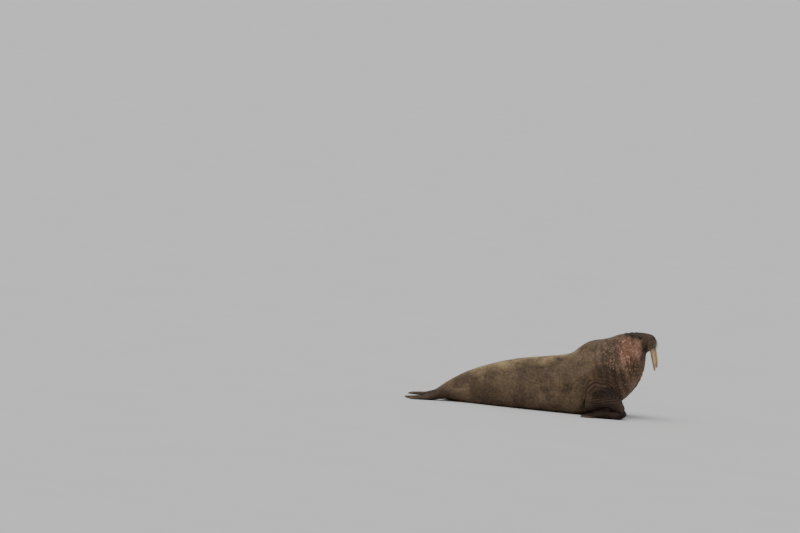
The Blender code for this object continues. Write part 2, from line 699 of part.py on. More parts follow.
def paint(part, colour, roughness):
    """Gives a node a material of its own."""
    material = bpy.data.materials.new(part.name)
    material.use_nodes = True
    shader = material.node_tree.nodes["Principled BSDF"]
    shader.inputs["Base Color"].default_value = (*colour, 1.0)
    shader.inputs["Roughness"].default_value = roughness
    shader.inputs["Metallic"].default_value = 0.0
    part.data.materials.clear()
    part.data.materials.append(material)


def build():
    """Makes all the nodes and sets the origin under the middle of the animal."""
    whole = skin_solid()
    nodes = []
    for side, word in ((1, "left"), (-1, "right")):
        nodes.append(take_limb(whole, "fore_flipper_" + word, FORE_LIMB, side))
        nodes.append(take_limb(whole, "hind_flipper_" + word, HIND_LIMB, side))
    for point, lean, turn in TRUNK_CUTS:
        cut(whole, slab(point, lean, turn))
    trunk_parts = loose_parts(whole, len(TRUNK_NAMES))
    nodes += [rename(part, name) for part, name in zip(trunk_parts, TRUNK_NAMES)]
    head, snout = trunk_parts[-2:]
    nodes.remove(snout)
    tidy(snout)
    cut(snout, slab(MOUTH_POINT, math.radians(90.0), -HEAD_TURN))
    jaw, muzzle = sorted(loose_parts(snout, 2), key=height)
    nodes += [rename(jaw, "lower_jaw"), rename(muzzle, "muzzle")]
    for side, word in ((1, "left"), (-1, "right")):
        nodes.append(tusk("tusk_" + word, side))
        for part in (muzzle, jaw):
            cut(part, socket_for(nodes[-1], SOCKET_GAP))
        nodes.append(eye("eye_" + word, side, EYE_RADIUS))
        cut(head, eye("room", side, EYE_RADIUS + SOCKET_GAP))
    for part in nodes:
        tidy(part)
        part.data.transform(Matrix.Translation((ORIGIN_SHIFT, 0, 0)))
        colour, roughness = LOOKS.get(part.name.split("_")[0], LOOKS["skin"])
        paint(part, colour, roughness)


def height(part):
    """How high the middle of a part is."""
    return sum(vert.co.z for vert in part.data.vertices) / len(part.data.vertices)


for leftover in list(bpy.data.objects):
    bpy.data.objects.remove(leftover)
build()
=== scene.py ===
"""The looks of a life-size adult male Atlantic walrus, hauled out on its belly with its head raised.

The skin is one closed surface over all the flesh. Its cage and large forms are those of the solids. Lids,
nostrils, mouth, folds, bosses and wrinkles are carved into it here. Tusks, eyes, nails, whiskers and short
hair are pieces of their own. Lengths are in metres, +X towards the head, +Z up, the floor at z = 0. The body
is shaped with its head straight and the origin under its shoulders. Its pose and its move to the model's
origin come last.
"""

import math

import bmesh
import bpy
import numpy as np
from mathutils import Matrix, Vector, noise
from mathutils.bvhtree import BVHTree


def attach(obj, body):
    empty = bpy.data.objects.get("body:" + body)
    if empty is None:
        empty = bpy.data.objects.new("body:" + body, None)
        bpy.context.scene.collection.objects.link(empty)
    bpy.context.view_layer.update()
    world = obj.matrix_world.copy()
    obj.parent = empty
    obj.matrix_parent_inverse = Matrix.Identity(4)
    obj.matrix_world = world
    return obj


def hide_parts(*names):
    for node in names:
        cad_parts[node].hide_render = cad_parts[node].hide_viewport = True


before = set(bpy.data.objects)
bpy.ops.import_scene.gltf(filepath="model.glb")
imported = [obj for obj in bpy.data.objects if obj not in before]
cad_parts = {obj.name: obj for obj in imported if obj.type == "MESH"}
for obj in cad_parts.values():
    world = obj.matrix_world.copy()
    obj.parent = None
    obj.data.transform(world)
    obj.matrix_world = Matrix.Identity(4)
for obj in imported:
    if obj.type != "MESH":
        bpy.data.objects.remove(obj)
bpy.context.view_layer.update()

FLESH = ["head", "muzzle", "lower_jaw", "neck", "chest", "trunk", "hindquarters", "tail",
         "fore_flipper_left", "fore_flipper_right", "hind_flipper_left", "hind_flipper_right"]
SIDES = [("left", 1), ("right", -1)]
COAT_DEPTH = 0.004
ORIGIN_SHIFT = 0.793
RING_POINTS = 28
LIMB_POINTS = 12
LIMB_SQUARENESS = 0.85
SKIN_LEVELS = 3
SKIN_TRIANGLES = 196000

# Islands of the skin's unwrap: left, low, width, height
FLAT_MAP = "OFBake"
BODY_ISLAND = (0.02, 0.40, 0.96, 0.58)
LIMB_ISLANDS = [(left, 0.10, 0.21, 0.26) for left in (0.02, 0.26, 0.50, 0.74)]
CAP_ISLANDS = [(0.02, 0.02), (0.14, 0.02)]
CAP_SCALE = 0.35

# The head's turn to the right and its roll, in radians, which fade out down the neck
NECK_LEAN = 0.31
TURN_RANGE = (0.40, 0.72)
TURN_PIVOT = 0.60
HEAD_TURN = math.radians(8.0)
HEAD_ROLL = math.radians(4.0)
HEAD_AXIS_HEIGHT = 1.13

# Tusks, on the left side before the head is turned. The profile is the size at shares of the way to the tip.
TUSK_ROOT = (0.913, 0.073, 1.118)
TUSK_TIP = (1.009, 0.095, 0.740)
TUSK_TIP_SHORTER = 0.018
TUSK_BOW = 0.008
TUSK_FORE_RADIUS = 0.033
TUSK_SIDE_RADIUS = 0.026
TUSK_RINGS = 48
TUSK_POINTS = 36
TUSK_PROFILE = [
    (0.00, 0.96), (0.14, 1.00), (0.30, 0.97), (0.46, 0.90), (0.62, 0.80),
    (0.76, 0.67), (0.87, 0.53), (0.95, 0.37), (0.985, 0.22), (1.00, 0.08),
]

# Eyes, on the left side: the opening between the lids is an almond with its front corner a little lower
EYE_CENTRE = (0.750, 0.138, 1.216)
EYE_RADIUS = 0.0187
EYE_AXIS = (0.36, 0.87, 0.33)
EYE_TILT = math.radians(10.0)
EYE_RINGS = 24
EYE_POINTS = 40
CORNEA_HEIGHT = 0.0010
CORNEA_ANGLE = 0.62
LID_HALF_LENGTH = 0.0160
LID_HALF_HEIGHT = 0.0078
LID_THICKNESS = 0.0016

# Where the skin is divided finer before its fine detail is carved: centres on the left side, radii, times
FINE_PLACES = [
    ((0.480, 0.000, 0.840), (0.330, 0.900, 0.480), 1),
    ((0.240, 0.620, 0.320), (0.290, 0.200, 0.270), 1),
    ((0.750, 0.150, 1.216), (0.036, 0.036, 0.036), 2),
    ((0.958, 0.022, 1.228), (0.026, 0.026, 0.026), 2),
    ((0.935, 0.030, 1.050), (0.045, 0.060, 0.028), 2),
]

# Whiskers, on the left side before the head is turned. They stand out from a centre at angles in degrees: the
# rows rise from the lowest one, and each spreads from its first whisker, at the front, to the side.
WHISKER_CENTRE = (0.885, 0.070, 1.125)
WHISKER_ROWS = 13
WHISKERS_IN_ROW = 17
WHISKER_LOWEST = -50.0
WHISKER_RISE = 92.0
WHISKER_FIRST = -24.0
WHISKER_SPREAD = 112.0
WHISKER_ROW_GAP = 0.0135
WHISKER_LENGTH = 0.046
WHISKER_WIDTH = 0.0018

# Nose, before the head is turned: its place and how its front falls, along X and Z
NOSE_PLACE = (0.950, 0.0, 1.218)
NOSE_FALL = (0.49, 0.87)

# Nails, from the outermost digit inwards, by length
FORE_NAILS = [0.010, 0.012, 0.012, 0.010, 0.008]
HIND_NAILS = [0.010, 0.018, 0.020, 0.018, 0.010]

# Hair: a tuft has three points at its heel, three at its bend and one at its tip, and the faces between them.
# Its patch on the unwrap is given for the same seven points. Its stray to the side and its lift off the skin
# are angles in radians, and its length varies between two shares of the coat's length.
COAT_LENGTH = 0.013
COAT_SEED = 7
TUFTS = 120000
TUFTS_IN_PIECE = 19000
TUFT_STRAY = 0.28
TUFT_LENGTHS = (0.7, 1.25)
TUFT_LIFTS = (0.06, 0.22)
TUFT_FACES = np.array([(0, 1, 4), (0, 4, 3), (1, 2, 5), (1, 5, 4), (2, 0, 3), (2, 3, 5), (3, 4, 6), (4, 5, 6),
                       (5, 3, 6), (0, 2, 1)])
TUFT_PATCH = np.array([(-0.0015, -0.0015), (0.0015, -0.0015), (0.0, -0.0012), (-0.0009, 0.0), (0.0009, 0.0),
                       (0.0, 0.0003), (0.0, 0.0015)])

# Colours
BODY_DARK = (0.080, 0.054, 0.034, 1.0)
BODY_LIGHT = (0.120, 0.086, 0.055, 1.0)
BLOTCH = (0.050, 0.033, 0.020, 1.0)
SPOT = (0.042, 0.026, 0.015, 1.0)
# Painted shade in wrinkles, in the pits between bosses, in the nostril slits and ear openings, and round the
# eyes
CREASE_SHADE = (0.018, 0.010, 0.006, 1.0)
# The bosses' own paler colour with a painted highlight on their tops
BOSS_TONE_AND_HIGHLIGHT = (0.395, 0.264, 0.206, 1.0)
HAIR_TINT = (1.45, 1.40, 1.28, 1.0)
# Painted shade that darkens the carved hollows
HOLLOW_SHADE = (0.44, 0.36, 0.31, 1.0)
SHADE_TINT = (0.76, 0.74, 0.72, 1.0)
LIGHT_TINT = (1.24, 1.22, 1.18, 1.0)
# Painted light on the top of the back, an olive tone where light from above falls
BACK_LIGHT = (0.270, 0.208, 0.112, 1.0)
# Painted shade low on the belly and the flanks, darker towards the floor
BELLY_SHADE = (0.076, 0.051, 0.032, 1.0)
HUMP = (0.195, 0.147, 0.104, 1.0)
NECK = (0.190, 0.132, 0.098, 1.0)
PINK = (0.385, 0.220, 0.170, 1.0)
# The low chest's own colour, made paler with painted light against the shade on its underside
LIT_CHEST = (0.212, 0.140, 0.098, 1.0)
THROAT = (0.110, 0.055, 0.029, 1.0)
# Painted shade in the arm pit, where the arm meets the body, and above the elbow
ARM_PIT_SHADE = (0.058, 0.036, 0.023, 1.0)
ELBOW = (0.080, 0.050, 0.028, 1.0)
FORE_ARM = (0.036, 0.021, 0.012, 1.0)
HAND = (0.013, 0.004, 0.002, 1.0)
HAND_EDGE = (0.120, 0.082, 0.056, 1.0)
HIND_FOOT = (0.034, 0.021, 0.014, 1.0)
CROWN = (0.037, 0.031, 0.022, 1.0)
FACE = (0.044, 0.027, 0.018, 1.0)
PAD = (0.058, 0.037, 0.026, 1.0)
NOSE = (0.014, 0.010, 0.008, 1.0)
LIP = (0.085, 0.042, 0.034, 1.0)
IVORY_LIGHT = (0.575, 0.405, 0.215, 1.0)
IVORY = (0.345, 0.222, 0.110, 1.0)
IVORY_STAIN = (0.205, 0.120, 0.055, 1.0)
# Dark ivory for the wear at the tips and in the cracks, and for painted shade on the back of each tusk
IVORY_WEAR_AND_SHADE = (0.060, 0.036, 0.016, 1.0)
IRIS = (0.022, 0.010, 0.005, 1.0)
IRIS_LIGHT = (0.060, 0.026, 0.012, 1.0)
EYE_WHITE = (0.085, 0.030, 0.020, 1.0)
PUPIL = (0.002, 0.002, 0.002, 1.0)
WHISKER_DARK = (0.120, 0.080, 0.050, 1.0)
WHISKER_LIGHT = (0.330, 0.245, 0.150, 1.0)
NAIL_DARK = (0.030, 0.022, 0.018, 1.0)
NAIL_LIGHT = (0.110, 0.080, 0.060, 1.0)
FLOOR_DARK = (0.52, 0.52, 0.53, 1.0)
FLOOR_LIGHT = (0.56, 0.56, 0.56, 1.0)
SKY = (0.96, 0.98, 1.0, 1.0)
SUNLIGHT = (1.0, 0.97, 0.92)

# The mottling of the hide: how fine, from where to where its noise rises, and its strength
MOTTLES = [(4.2, 0.38, 0.62, 1.0), (31.0, 0.36, 0.64, 0.9)]

# How far the skin is carved in or out is kept on each vertex as a share of this depth. It paints shade into
# the hollows and a highlight onto the neck's bosses.
RELIEF = "relief"
RELIEF_DEPTH = 0.008

# The band of painted light along the top of the back, in an olive tone
BAND_CENTRES = [(-0.85, 0.0, 0.56), (-0.45, 0.0, 0.67), (-0.05, 0.0, 0.77), (0.35, 0.0, 0.86)]
BAND_RADII = (0.62, 0.50, 0.22)

# Markings of the body, among them painted shade on the belly and in the arm pits and painted light on the low
# chest: the centre on the left side, the radii, the colour and the strength of each
MARKINGS = [
    # Painted shade low on the flanks, towards the floor
    ((-0.30, 0.50, 0.00), (1.30, 0.50, 0.26), BELLY_SHADE, 0.60),
    ((0.90, 0.00, 1.10), (0.42, 0.36, 0.16), HUMP, 0.60),
    ((1.22, 0.35, 0.95), (0.42, 0.55, 0.46), NECK, 0.75),
    ((1.42, 0.30, 1.00), (0.24, 0.50, 0.27), PINK, 0.85),
    # The low chest's own colour with painted light
    ((1.42, 0.25, 0.52), (0.30, 0.60, 0.36), LIT_CHEST, 0.80),
    ((1.58, 0.05, 0.80), (0.10, 0.26, 0.26), THROAT, 0.60),
    # Painted shade in the arm pit and above the elbow
    ((1.08, 0.20, 0.32), (0.32, 0.55, 0.22), ARM_PIT_SHADE, 0.75),
    ((1.12, 0.45, 0.65), (0.36, 0.40, 0.15), ARM_PIT_SHADE, 0.60),
    ((1.03, 0.52, 0.50), (0.36, 0.34, 0.22), ELBOW, 0.70),
    ((1.10, 0.52, 0.36), (0.17, 0.30, 0.15), FORE_ARM, 0.65),
    ((1.14, 0.55, 0.24), (0.44, 0.36, 0.25), FORE_ARM, 0.94),
    ((1.14, 0.62, 0.04), (0.56, 0.44, 0.20), HAND, 0.95),
    ((-1.45, 0.40, 0.05), (0.44, 0.40, 0.24), HIND_FOOT, 0.85),
    ((0.95, 0.77, 0.00), (0.26, 0.13, 0.030), HAND_EDGE, 0.80),
    ((1.44, 0.00, 1.30), (0.32, 0.42, 0.17), CROWN, 0.90),
    ((0.365, 0.30, 0.76), (0.060, 0.20, 0.040), SPOT, 0.65),
    ((0.117, 0.40, 0.64), (0.100, 0.20, 0.045), SPOT, 0.60),
    ((-0.217, 0.33, 0.66), (0.060, 0.20, 0.035), SPOT, 0.60),
]

# Where the hide is coloured and pitted as bossed, with the painted highlight on its bosses and the painted
# shade in its pits: the centre on the left side and the radii
BOSS_PLACE = ((1.32, 0.20, 0.95), (0.40, 0.60, 0.52))

# Markings of the face, in the head's own frame, with how soft the rim of each is as a share. Those in the
# crease colour are painted shade.
FACE_MARKINGS = [
    ((0.925, 0.00, 1.15), (0.190, 0.36, 0.27), FACE, 0.94, 0.32),
    ((0.940, 0.09, 1.13), (0.080, 0.11, 0.10), PAD, 0.55, 0.50),
    ((0.950, 0.03, 1.225), (0.045, 0.060, 0.040), NOSE, 0.70, 0.60),
    # Painted shade in the nostril slit
    ((0.952, 0.025, 1.214), (0.012, 0.0085, 0.017), CREASE_SHADE, 0.90, 0.60),
    ((0.900, 0.02, 1.030), (0.080, 0.10, 0.050), LIP, 0.55, 0.50),
    # Painted shade round the eye and in the ear opening
    ((0.750, 0.150, 1.216), (0.034, 0.045, 0.026), CREASE_SHADE, 0.75, 0.60),
    ((0.667, 0.205, 1.186), (0.014, 0.030, 0.016), CREASE_SHADE, 0.85, 0.60),
]

# Floor, light and camera, with angles in degrees
FLOOR_SIZE = 800.0
SKY_STRENGTH = 0.72
SUN_STRENGTH = 1.95
SUN_WIDTH = 50.0
SUN_ANGLES = (22.0, -14.0, 0.0)
CAMERA_TURN = 4.0
CAMERA_RISE = 3.5
CAMERA_ROLL = 5.5
CAMERA_DISTANCE = 120.0
CAMERA_REACH = 2000.0
SENSOR_WIDTH = 36.0
PIXELS_PER_METRE = 68.0
FRAME_WIDTH = 800.0
FRAME_HEIGHT = 533.0
ANCHOR_PIXEL = (582.9, 413.2)

# Swellings of the head and the body: the centre on the left side, the radii and the push
HEAD_SWELLS = [
    ((0.925, 0.088, 1.135), (0.090, 0.100, 0.115), (0.006, 0.020, -0.004)),
    ((0.945, 0.075, 1.085), (0.060, 0.075, 0.055), (0.000, 0.004, -0.014)),
    ((0.955, 0.000, 1.232), (0.050, 0.060, 0.045), (0.006, 0.000, 0.008)),
    ((0.742, 0.150, 1.224), (0.052, 0.060, 0.040), (0.003, 0.012, 0.006)),
    ((0.735, 0.105, 1.262), (0.060, 0.050, 0.040), (0.000, 0.010, 0.007)),
    ((0.812, 0.150, 1.205), (0.048, 0.060, 0.050), (0.000, -0.013, 0.000)),
    ((0.690, 0.190, 1.180), (0.070, 0.080, 0.080), (0.000, -0.008, 0.000)),
]
BODY_SWELLS = [
    ((0.240, 0.490, 0.620), (0.380, 0.260, 0.300), (0.000, 0.022, 0.000)),
    ((0.250, 0.520, 0.395), (0.200, 0.140, 0.130), (-0.006, 0.032, 0.006)),
    ((0.560, 0.500, 0.085), (0.150, 0.200, 0.105), (0.078, 0.000, -0.010)),
    ((0.120, 0.480, 0.165), (0.170, 0.170, 0.150), (-0.050, 0.036, -0.048)),
    ((0.200, 0.500, 0.115), (0.170, 0.180, 0.080), (0.000, 0.030, -0.062)),
    ((-1.720, 0.230, 0.400), (0.220, 0.160, 0.160), (0.000, 0.014, 0.012)),
]

# Large folds: the corners of each path on the left side, then its radius, depth and how far its rims rise
MUZZLE_MIDDLE = [(0.975, 0.0, 1.200), (0.990, 0.0, 1.150), (0.985, 0.0, 1.090), (0.955, 0.0, 1.050)]
MOUTH = [(0.838, 0.122, 1.048), (0.872, 0.108, 1.050), (0.905, 0.084, 1.054), (0.925, 0.045, 1.058),
         (0.930, 0.000, 1.060)]
OVER_ELBOW = [(0.020, 0.540, 0.300), (0.075, 0.560, 0.440), (0.200, 0.570, 0.520), (0.350, 0.550, 0.510),
              (0.450, 0.520, 0.430)]
BEHIND_ARM = [(-0.090, 0.500, 0.200), (-0.040, 0.540, 0.420), (0.080, 0.560, 0.590), (0.260, 0.560, 0.640)]
UNDER_ARM = [(0.120, 0.460, 0.300), (0.080, 0.450, 0.180), (0.030, 0.440, 0.080)]
HEAD_GROOVES = [(MUZZLE_MIDDLE, 0.034, 0.014, 0.25), (MOUTH, 0.026, 0.014, 0.10)]
BODY_GROOVES = [(OVER_ELBOW, 0.070, 0.018, 0.25), (BEHIND_ARM, 0.060, 0.010, 0.25),
                (UNDER_ARM, 0.070, 0.020, 0.25)]
NECK_RINGS = (0.0, 0.085, 0.165)

# The slit of the mouth: from its corner to the tusk and on below the lip, with its radius, depth and rims
MOUTH_SLIT = ([(0.836, 0.118, 1.050), (0.858, 0.100, 1.052), (0.885, 0.080, 1.055), (0.905, 0.062, 1.034),
               (0.926, 0.040, 1.029), (0.930, 0.020, 1.027), (0.922, 0.000, 1.030)], 0.010, 0.0090, 0.15)

# The ear's opening and the fold over it
EAR_HOLE = ([(0.663, 0.205, 1.183), (0.667, 0.205, 1.190)], 0.0105, 0.0110, 0.35)
EAR_FOLD = ([(0.650, 0.205, 1.205), (0.664, 0.205, 1.209), (0.678, 0.205, 1.200)], 0.0100, -0.0040, 0.25)

# The trunk, neck and head are a loft. Each station is a section that leans with the spine: the point on the
# back, the point on the belly, the half width, the height of the widest level as a share, and how square the
# section is above and below that level, where 1 is an ellipse and less is squarer.
STATIONS = [
    # name          back x, z        belly x, z      half    level  above  below
    ("tail_tip", -2.185, 0.150, -2.185, 0.060, 0.045, 0.50, 0.90, 0.90),
    ("tail_root", -2.120, 0.205, -2.120, 0.035, 0.090, 0.48, 0.90, 0.85),
    ("rump", -2.020, 0.285, -2.020, 0.005, 0.165, 0.46, 0.92, 0.80),
    ("hips", -1.890, 0.375, -1.890, -0.015, 0.236, 0.44, 0.95, 0.76),
    ("pelvis", -1.740, 0.462, -1.740, -0.022, 0.301, 0.43, 0.95, 0.74),
    ("loin", -1.540, 0.555, -1.540, -0.025, 0.359, 0.42, 0.95, 0.72),
    ("flank", -1.310, 0.641, -1.310, -0.025, 0.405, 0.41, 0.95, 0.72),
    ("hind_belly", -1.070, 0.710, -1.070, -0.025, 0.442, 0.41, 0.95, 0.72),
    ("belly", -0.830, 0.757, -0.830, -0.025, 0.467, 0.41, 0.95, 0.72),
    ("mid_trunk", -0.600, 0.797, -0.580, -0.025, 0.481, 0.41, 0.95, 0.72),
    ("ribs", -0.400, 0.834, -0.350, -0.025, 0.488, 0.41, 0.95, 0.72),
    ("dip", -0.258, 0.862, -0.170, -0.024, 0.490, 0.41, 0.95, 0.72),
    ("fold", -0.172, 0.944, -0.040, -0.020, 0.487, 0.42, 0.95, 0.74),
    ("withers", -0.075, 1.038, 0.085, -0.010, 0.481, 0.43, 0.95, 0.78),
    ("shoulder", 0.035, 1.096, 0.215, 0.028, 0.470, 0.44, 0.95, 0.82),
    ("brisket", 0.150, 1.121, 0.350, 0.090, 0.456, 0.45, 0.95, 0.86),
    ("breast", 0.260, 1.146, 0.482, 0.170, 0.435, 0.46, 0.95, 0.90),
    ("chest", 0.355, 1.190, 0.605, 0.270, 0.407, 0.47, 0.95, 0.92),
    ("neck_root", 0.440, 1.229, 0.702, 0.385, 0.376, 0.48, 0.95, 0.94),
    ("neck_low", 0.515, 1.250, 0.775, 0.515, 0.343, 0.48, 0.95, 0.95),
    ("neck_mid", 0.580, 1.260, 0.822, 0.650, 0.306, 0.48, 0.95, 0.96),
    ("neck_high", 0.638, 1.268, 0.836, 0.775, 0.264, 0.47, 0.94, 0.96),
    ("throat", 0.690, 1.272, 0.836, 0.878, 0.224, 0.46, 0.92, 0.96),
    ("jaw_angle", 0.735, 1.275, 0.836, 0.944, 0.178, 0.46, 0.90, 0.95),
    ("eye_line", 0.775, 1.276, 0.848, 0.972, 0.149, 0.45, 0.86, 0.90),
    ("cheek", 0.812, 1.272, 0.868, 0.990, 0.141, 0.44, 0.84, 0.88),
    ("muzzle_root", 0.848, 1.268, 0.890, 1.008, 0.140, 0.43, 0.84, 0.86),
    ("pad_back", 0.884, 1.264, 0.915, 1.026, 0.146, 0.42, 0.86, 0.86),
    ("pad_middle", 0.920, 1.252, 0.942, 1.044, 0.142, 0.42, 0.88, 0.88),
    ("pad_front", 0.946, 1.220, 0.956, 1.060, 0.120, 0.42, 0.90, 0.90),
    ("nose_end", 0.962, 1.182, 0.966, 1.086, 0.078, 0.42, 0.90, 0.90),
]

# Front flippers, given for the left side and mirrored for the right: the arm leaves the flank and comes down
# to a heel on the floor, and the hand turns back and out. Each section has its centre, the direction across
# it towards the leading edge, the half breadth and the half thickness.
FORE_HOLE_RINGS = (13, 16)
FORE_HOLE_POINTS = (4, 7)
FORE_SECTIONS = [
    ((0.250, 0.438, 0.350), (0.97, 0.10, 0.22), 0.222, 0.102),
    ((0.278, 0.464, 0.262), (0.95, 0.12, 0.26), 0.255, 0.114),
    ((0.335, 0.482, 0.192), (0.93, 0.18, 0.32), 0.242, 0.118),
    ((0.455, 0.490, 0.140), (0.80, 0.48, 0.28), 0.190, 0.114),
    ((0.540, 0.500, 0.116), (0.45, 0.88, 0.10), 0.150, 0.102),
    ((0.560, 0.508, 0.080), (0.34, 0.94, 0.00), 0.146, 0.090),
    ((0.505, 0.520, 0.052), (0.32, 0.95, 0.00), 0.148, 0.076),
    ((0.395, 0.544, 0.060), (0.32, 0.95, 0.00), 0.156, 0.066),
    ((0.270, 0.576, 0.050), (0.32, 0.95, 0.00), 0.170, 0.054),
    ((0.165, 0.612, 0.034), (0.32, 0.95, 0.00), 0.178, 0.037),
    ((0.082, 0.652, 0.022), (0.32, 0.95, 0.00), 0.170, 0.023),
    ((0.022, 0.673, 0.014), (0.32, 0.95, 0.00), 0.150, 0.013),
]
FORE_SLANT = 0.46
FAR_FORE_SHIFT = -0.075
FORE_WRIST = (0.500, 0.515, 0.150)
FORE_DIGIT_TIPS = [(0.008, 0.808), (-0.002, 0.738), (0.012, 0.672), (0.034, 0.612), (0.062, 0.560)]

# Hind flippers, given in the same way: short shanks out of the rump, and fans that trail flat on the floor.
HIND_HOLE_RINGS = (2, 4)
HIND_HOLE_POINTS = (3, 7)
HIND_SECTIONS = [
    ((-1.985, 0.272, 0.142), (0.46, 0.88, -0.05), 0.116, 0.106),
    ((-2.075, 0.315, 0.112), (0.42, 0.91, -0.03), 0.110, 0.088),
    ((-2.165, 0.352, 0.072), (0.38, 0.92, 0.00), 0.108, 0.066),
    ((-2.250, 0.386, 0.042), (0.36, 0.93, 0.00), 0.120, 0.046),
    ((-2.335, 0.418, 0.027), (0.36, 0.93, 0.00), 0.144, 0.032),
    ((-2.425, 0.452, 0.019), (0.36, 0.93, 0.00), 0.168, 0.024),
    ((-2.510, 0.484, 0.013), (0.36, 0.93, 0.00), 0.182, 0.018),
    ((-2.565, 0.504, 0.009), (0.36, 0.93, 0.00), 0.176, 0.012),
]
HIND_SLANT = 0.0
HIND_ANKLE = (-2.190, 0.362, 0.090)
HIND_DIGIT_TIPS = [(-2.520, 0.655), (-2.555, 0.578), (-2.570, 0.502), (-2.580, 0.425), (-2.590, 0.345)]
DIGIT_HALF_WIDTH = 0.030


def signed_power(value, power):
    return math.copysign(abs(value) ** power, value)


def ring_of(station):
    """The points of one trunk section, from the belly up the left side, over the back and down the right."""
    _, back_x, back_z, belly_x, belly_z, half, level, above, below = station
    lift = math.log(level) / math.log(0.5)
    points = []
    for k in range(RING_POINTS):
        angle = math.tau * k / RING_POINTS - math.pi / 2
        power = above if math.sin(angle) > 0 else below
        share = ((1 + signed_power(math.sin(angle), power)) / 2) ** lift
        across = half * signed_power(math.cos(angle), power)
        x = belly_x + (back_x - belly_x) * share
        points.append(Vector((x, across, belly_z + (back_z - belly_z) * share)))
    return points


def place_on(island, along, around):
    """The spot on the unwrap at a share of the way along and around an island."""
    left, low, width, height = island
    return (left + width * along, low + height * around)


def add_face(bm, corners, places):
    """Makes a face of the cage and lays it on the unwrap."""
    face = bm.faces.new(corners)
    flat = bm.loops.layers.uv.active
    for loop, place in zip(face.loops, places):
        loop[flat].uv = place


def cap_with_grid(bm, ring, bulge, island):
    """Closes a trunk ring with a grid of quads, six across and eight up, pushed out by bulge along X."""
    low = min(corner.co.z for corner in ring)
    across, up = 6, 8
    start = -across // 2
    grid = {}
    for i in range(across + 1):
        grid[i, 0] = ring[start + i]
        grid[i, up] = ring[start + 2 * across + up - i]
    for j in range(up + 1):
        grid[0, j] = ring[start - j]
        grid[across, j] = ring[start + across + j]
    for i in range(1, across):
        for j in range(1, up):
            u, v = i / across, j / up
            sides = grid[0, j].co * (1 - u) + grid[across, j].co * u
            ends = grid[i, 0].co * (1 - v) + grid[i, up].co * v
            dome = 16 * u * (1 - u) * v * (1 - v)
            grid[i, j] = bm.verts.new((sides + ends) / 2 + Vector((bulge * dome, 0, 0)))
    for i in range(across):
        for j in range(up):
            corners = [grid[i, j], grid[i + 1, j], grid[i + 1, j + 1], grid[i, j + 1]]
            spots = [(corner.co.y + 0.1, corner.co.z - low) for corner in corners]
            places = [(island[0] + CAP_SCALE * y, island[1] + CAP_SCALE * z) for y, z in spots]
            add_face(bm, corners, places)


def limb_rings(sections, slant, side):
    """The points of each section of a limb, whose tip's leading edge reaches on by slant half breadths."""
    centres = [Vector(section[0]) for section in sections]
    rings = []
    for n, (_, across, half_breadth, half_thickness) in enumerate(sections):
        heading = centres[min(n + 1, len(centres) - 1)] - centres[max(n - 1, 0)]
        across = Vector(across).normalized()
        thick = across.cross(heading).normalized()
        heading = thick.cross(across)
        reach = slant * half_breadth * (n / (len(sections) - 1)) ** 2
        ring = []
        for k in range(LIMB_POINTS):
            angle = math.tau * k / LIMB_POINTS
            share = signed_power(math.cos(angle), LIMB_SQUARENESS)
            point = centres[n] + across * (half_breadth * share) + heading * (reach * share)
            point += thick * (half_thickness * signed_power(math.sin(angle), LIMB_SQUARENESS))
            ring.append(Vector((point.x, point.y * side, point.z)))
        rings.append(ring)
    return rings


def matched(rim, loop):
    """The rim's points in the order and direction that lie nearest to the loop's points."""
    count = len(loop)
    turns = [(step, way) for step in range(count) for way in (1, -1)]

    def spread(turn):
        step, way = turn
        return sum((rim[(step + way * k) % count].co - loop[k].co).length_squared for k in range(count))

    step, way = min(turns, key=spread)
    return [rim[(step + way * k) % count] for k in range(count)]


def join_loops(bm, first, second, island, start, end):
    """Joins two loops of as many points with quads, which lie on the unwrap from start to end."""
    count = len(first)
    for k in range(count):
        n = (k + 1) % count
        places = [place_on(island, along, around / count)
                  for along, around in ((start, k), (start, k + 1), (end, k + 1), (end, k))]
        add_face(bm, [first[k], first[n], second[n], second[k]], places)


def close_limb(bm, ring, island):
    """Closes the flat tip of a limb with quads from its upper side to its lower side."""
    count = len(ring)
    for k in range(count // 2):
        corners = [ring[k], ring[k + 1], ring[count - k - 1], ring[(count - k) % count]]
        corners = list(dict.fromkeys(corners))
        past_tip = [0.04 * (ring.index(corner) > count // 2) for corner in corners]
        add_face(bm, corners, [place_on(island, 1.0 + past, k / count) for past in past_tip])


def add_limb(bm, rings, hole_rings, hole_points, side, points, island):
    """Grows a limb from the hole left in the trunk's side."""
    (first, last), (low, high) = hole_rings, hole_points

    def trunk_point(i, j):
        return rings[i][j if side > 0 else (RING_POINTS - j) % RING_POINTS]

    rim = [trunk_point(i, low) for i in range(first, last)]
    rim += [trunk_point(last, j) for j in range(low, high)]
    rim += [trunk_point(i, high) for i in range(last, first, -1)]
    rim += [trunk_point(first, j) for j in range(high, low, -1)]
    loops = [[bm.verts.new(point) for point in ring] for ring in points]
    loops.insert(0, matched(rim, loops[0]))
    for n, (first_loop, second_loop) in enumerate(zip(loops, loops[1:])):
        join_loops(bm, first_loop, second_loop, island, n / len(points), (n + 1) / len(points))
    close_limb(bm, loops[-1], island)


def in_hole(i, j):
    """Whether the trunk's quad between rings i and i + 1 and points j and j + 1 makes way for a limb."""
    for (first, last), (low, high) in (
        (FORE_HOLE_RINGS, FORE_HOLE_POINTS),
        (HIND_HOLE_RINGS, HIND_HOLE_POINTS),
    ):
        if first <= i < last and (low <= j < high or RING_POINTS - high <= j < RING_POINTS - low):
            return True
    return False


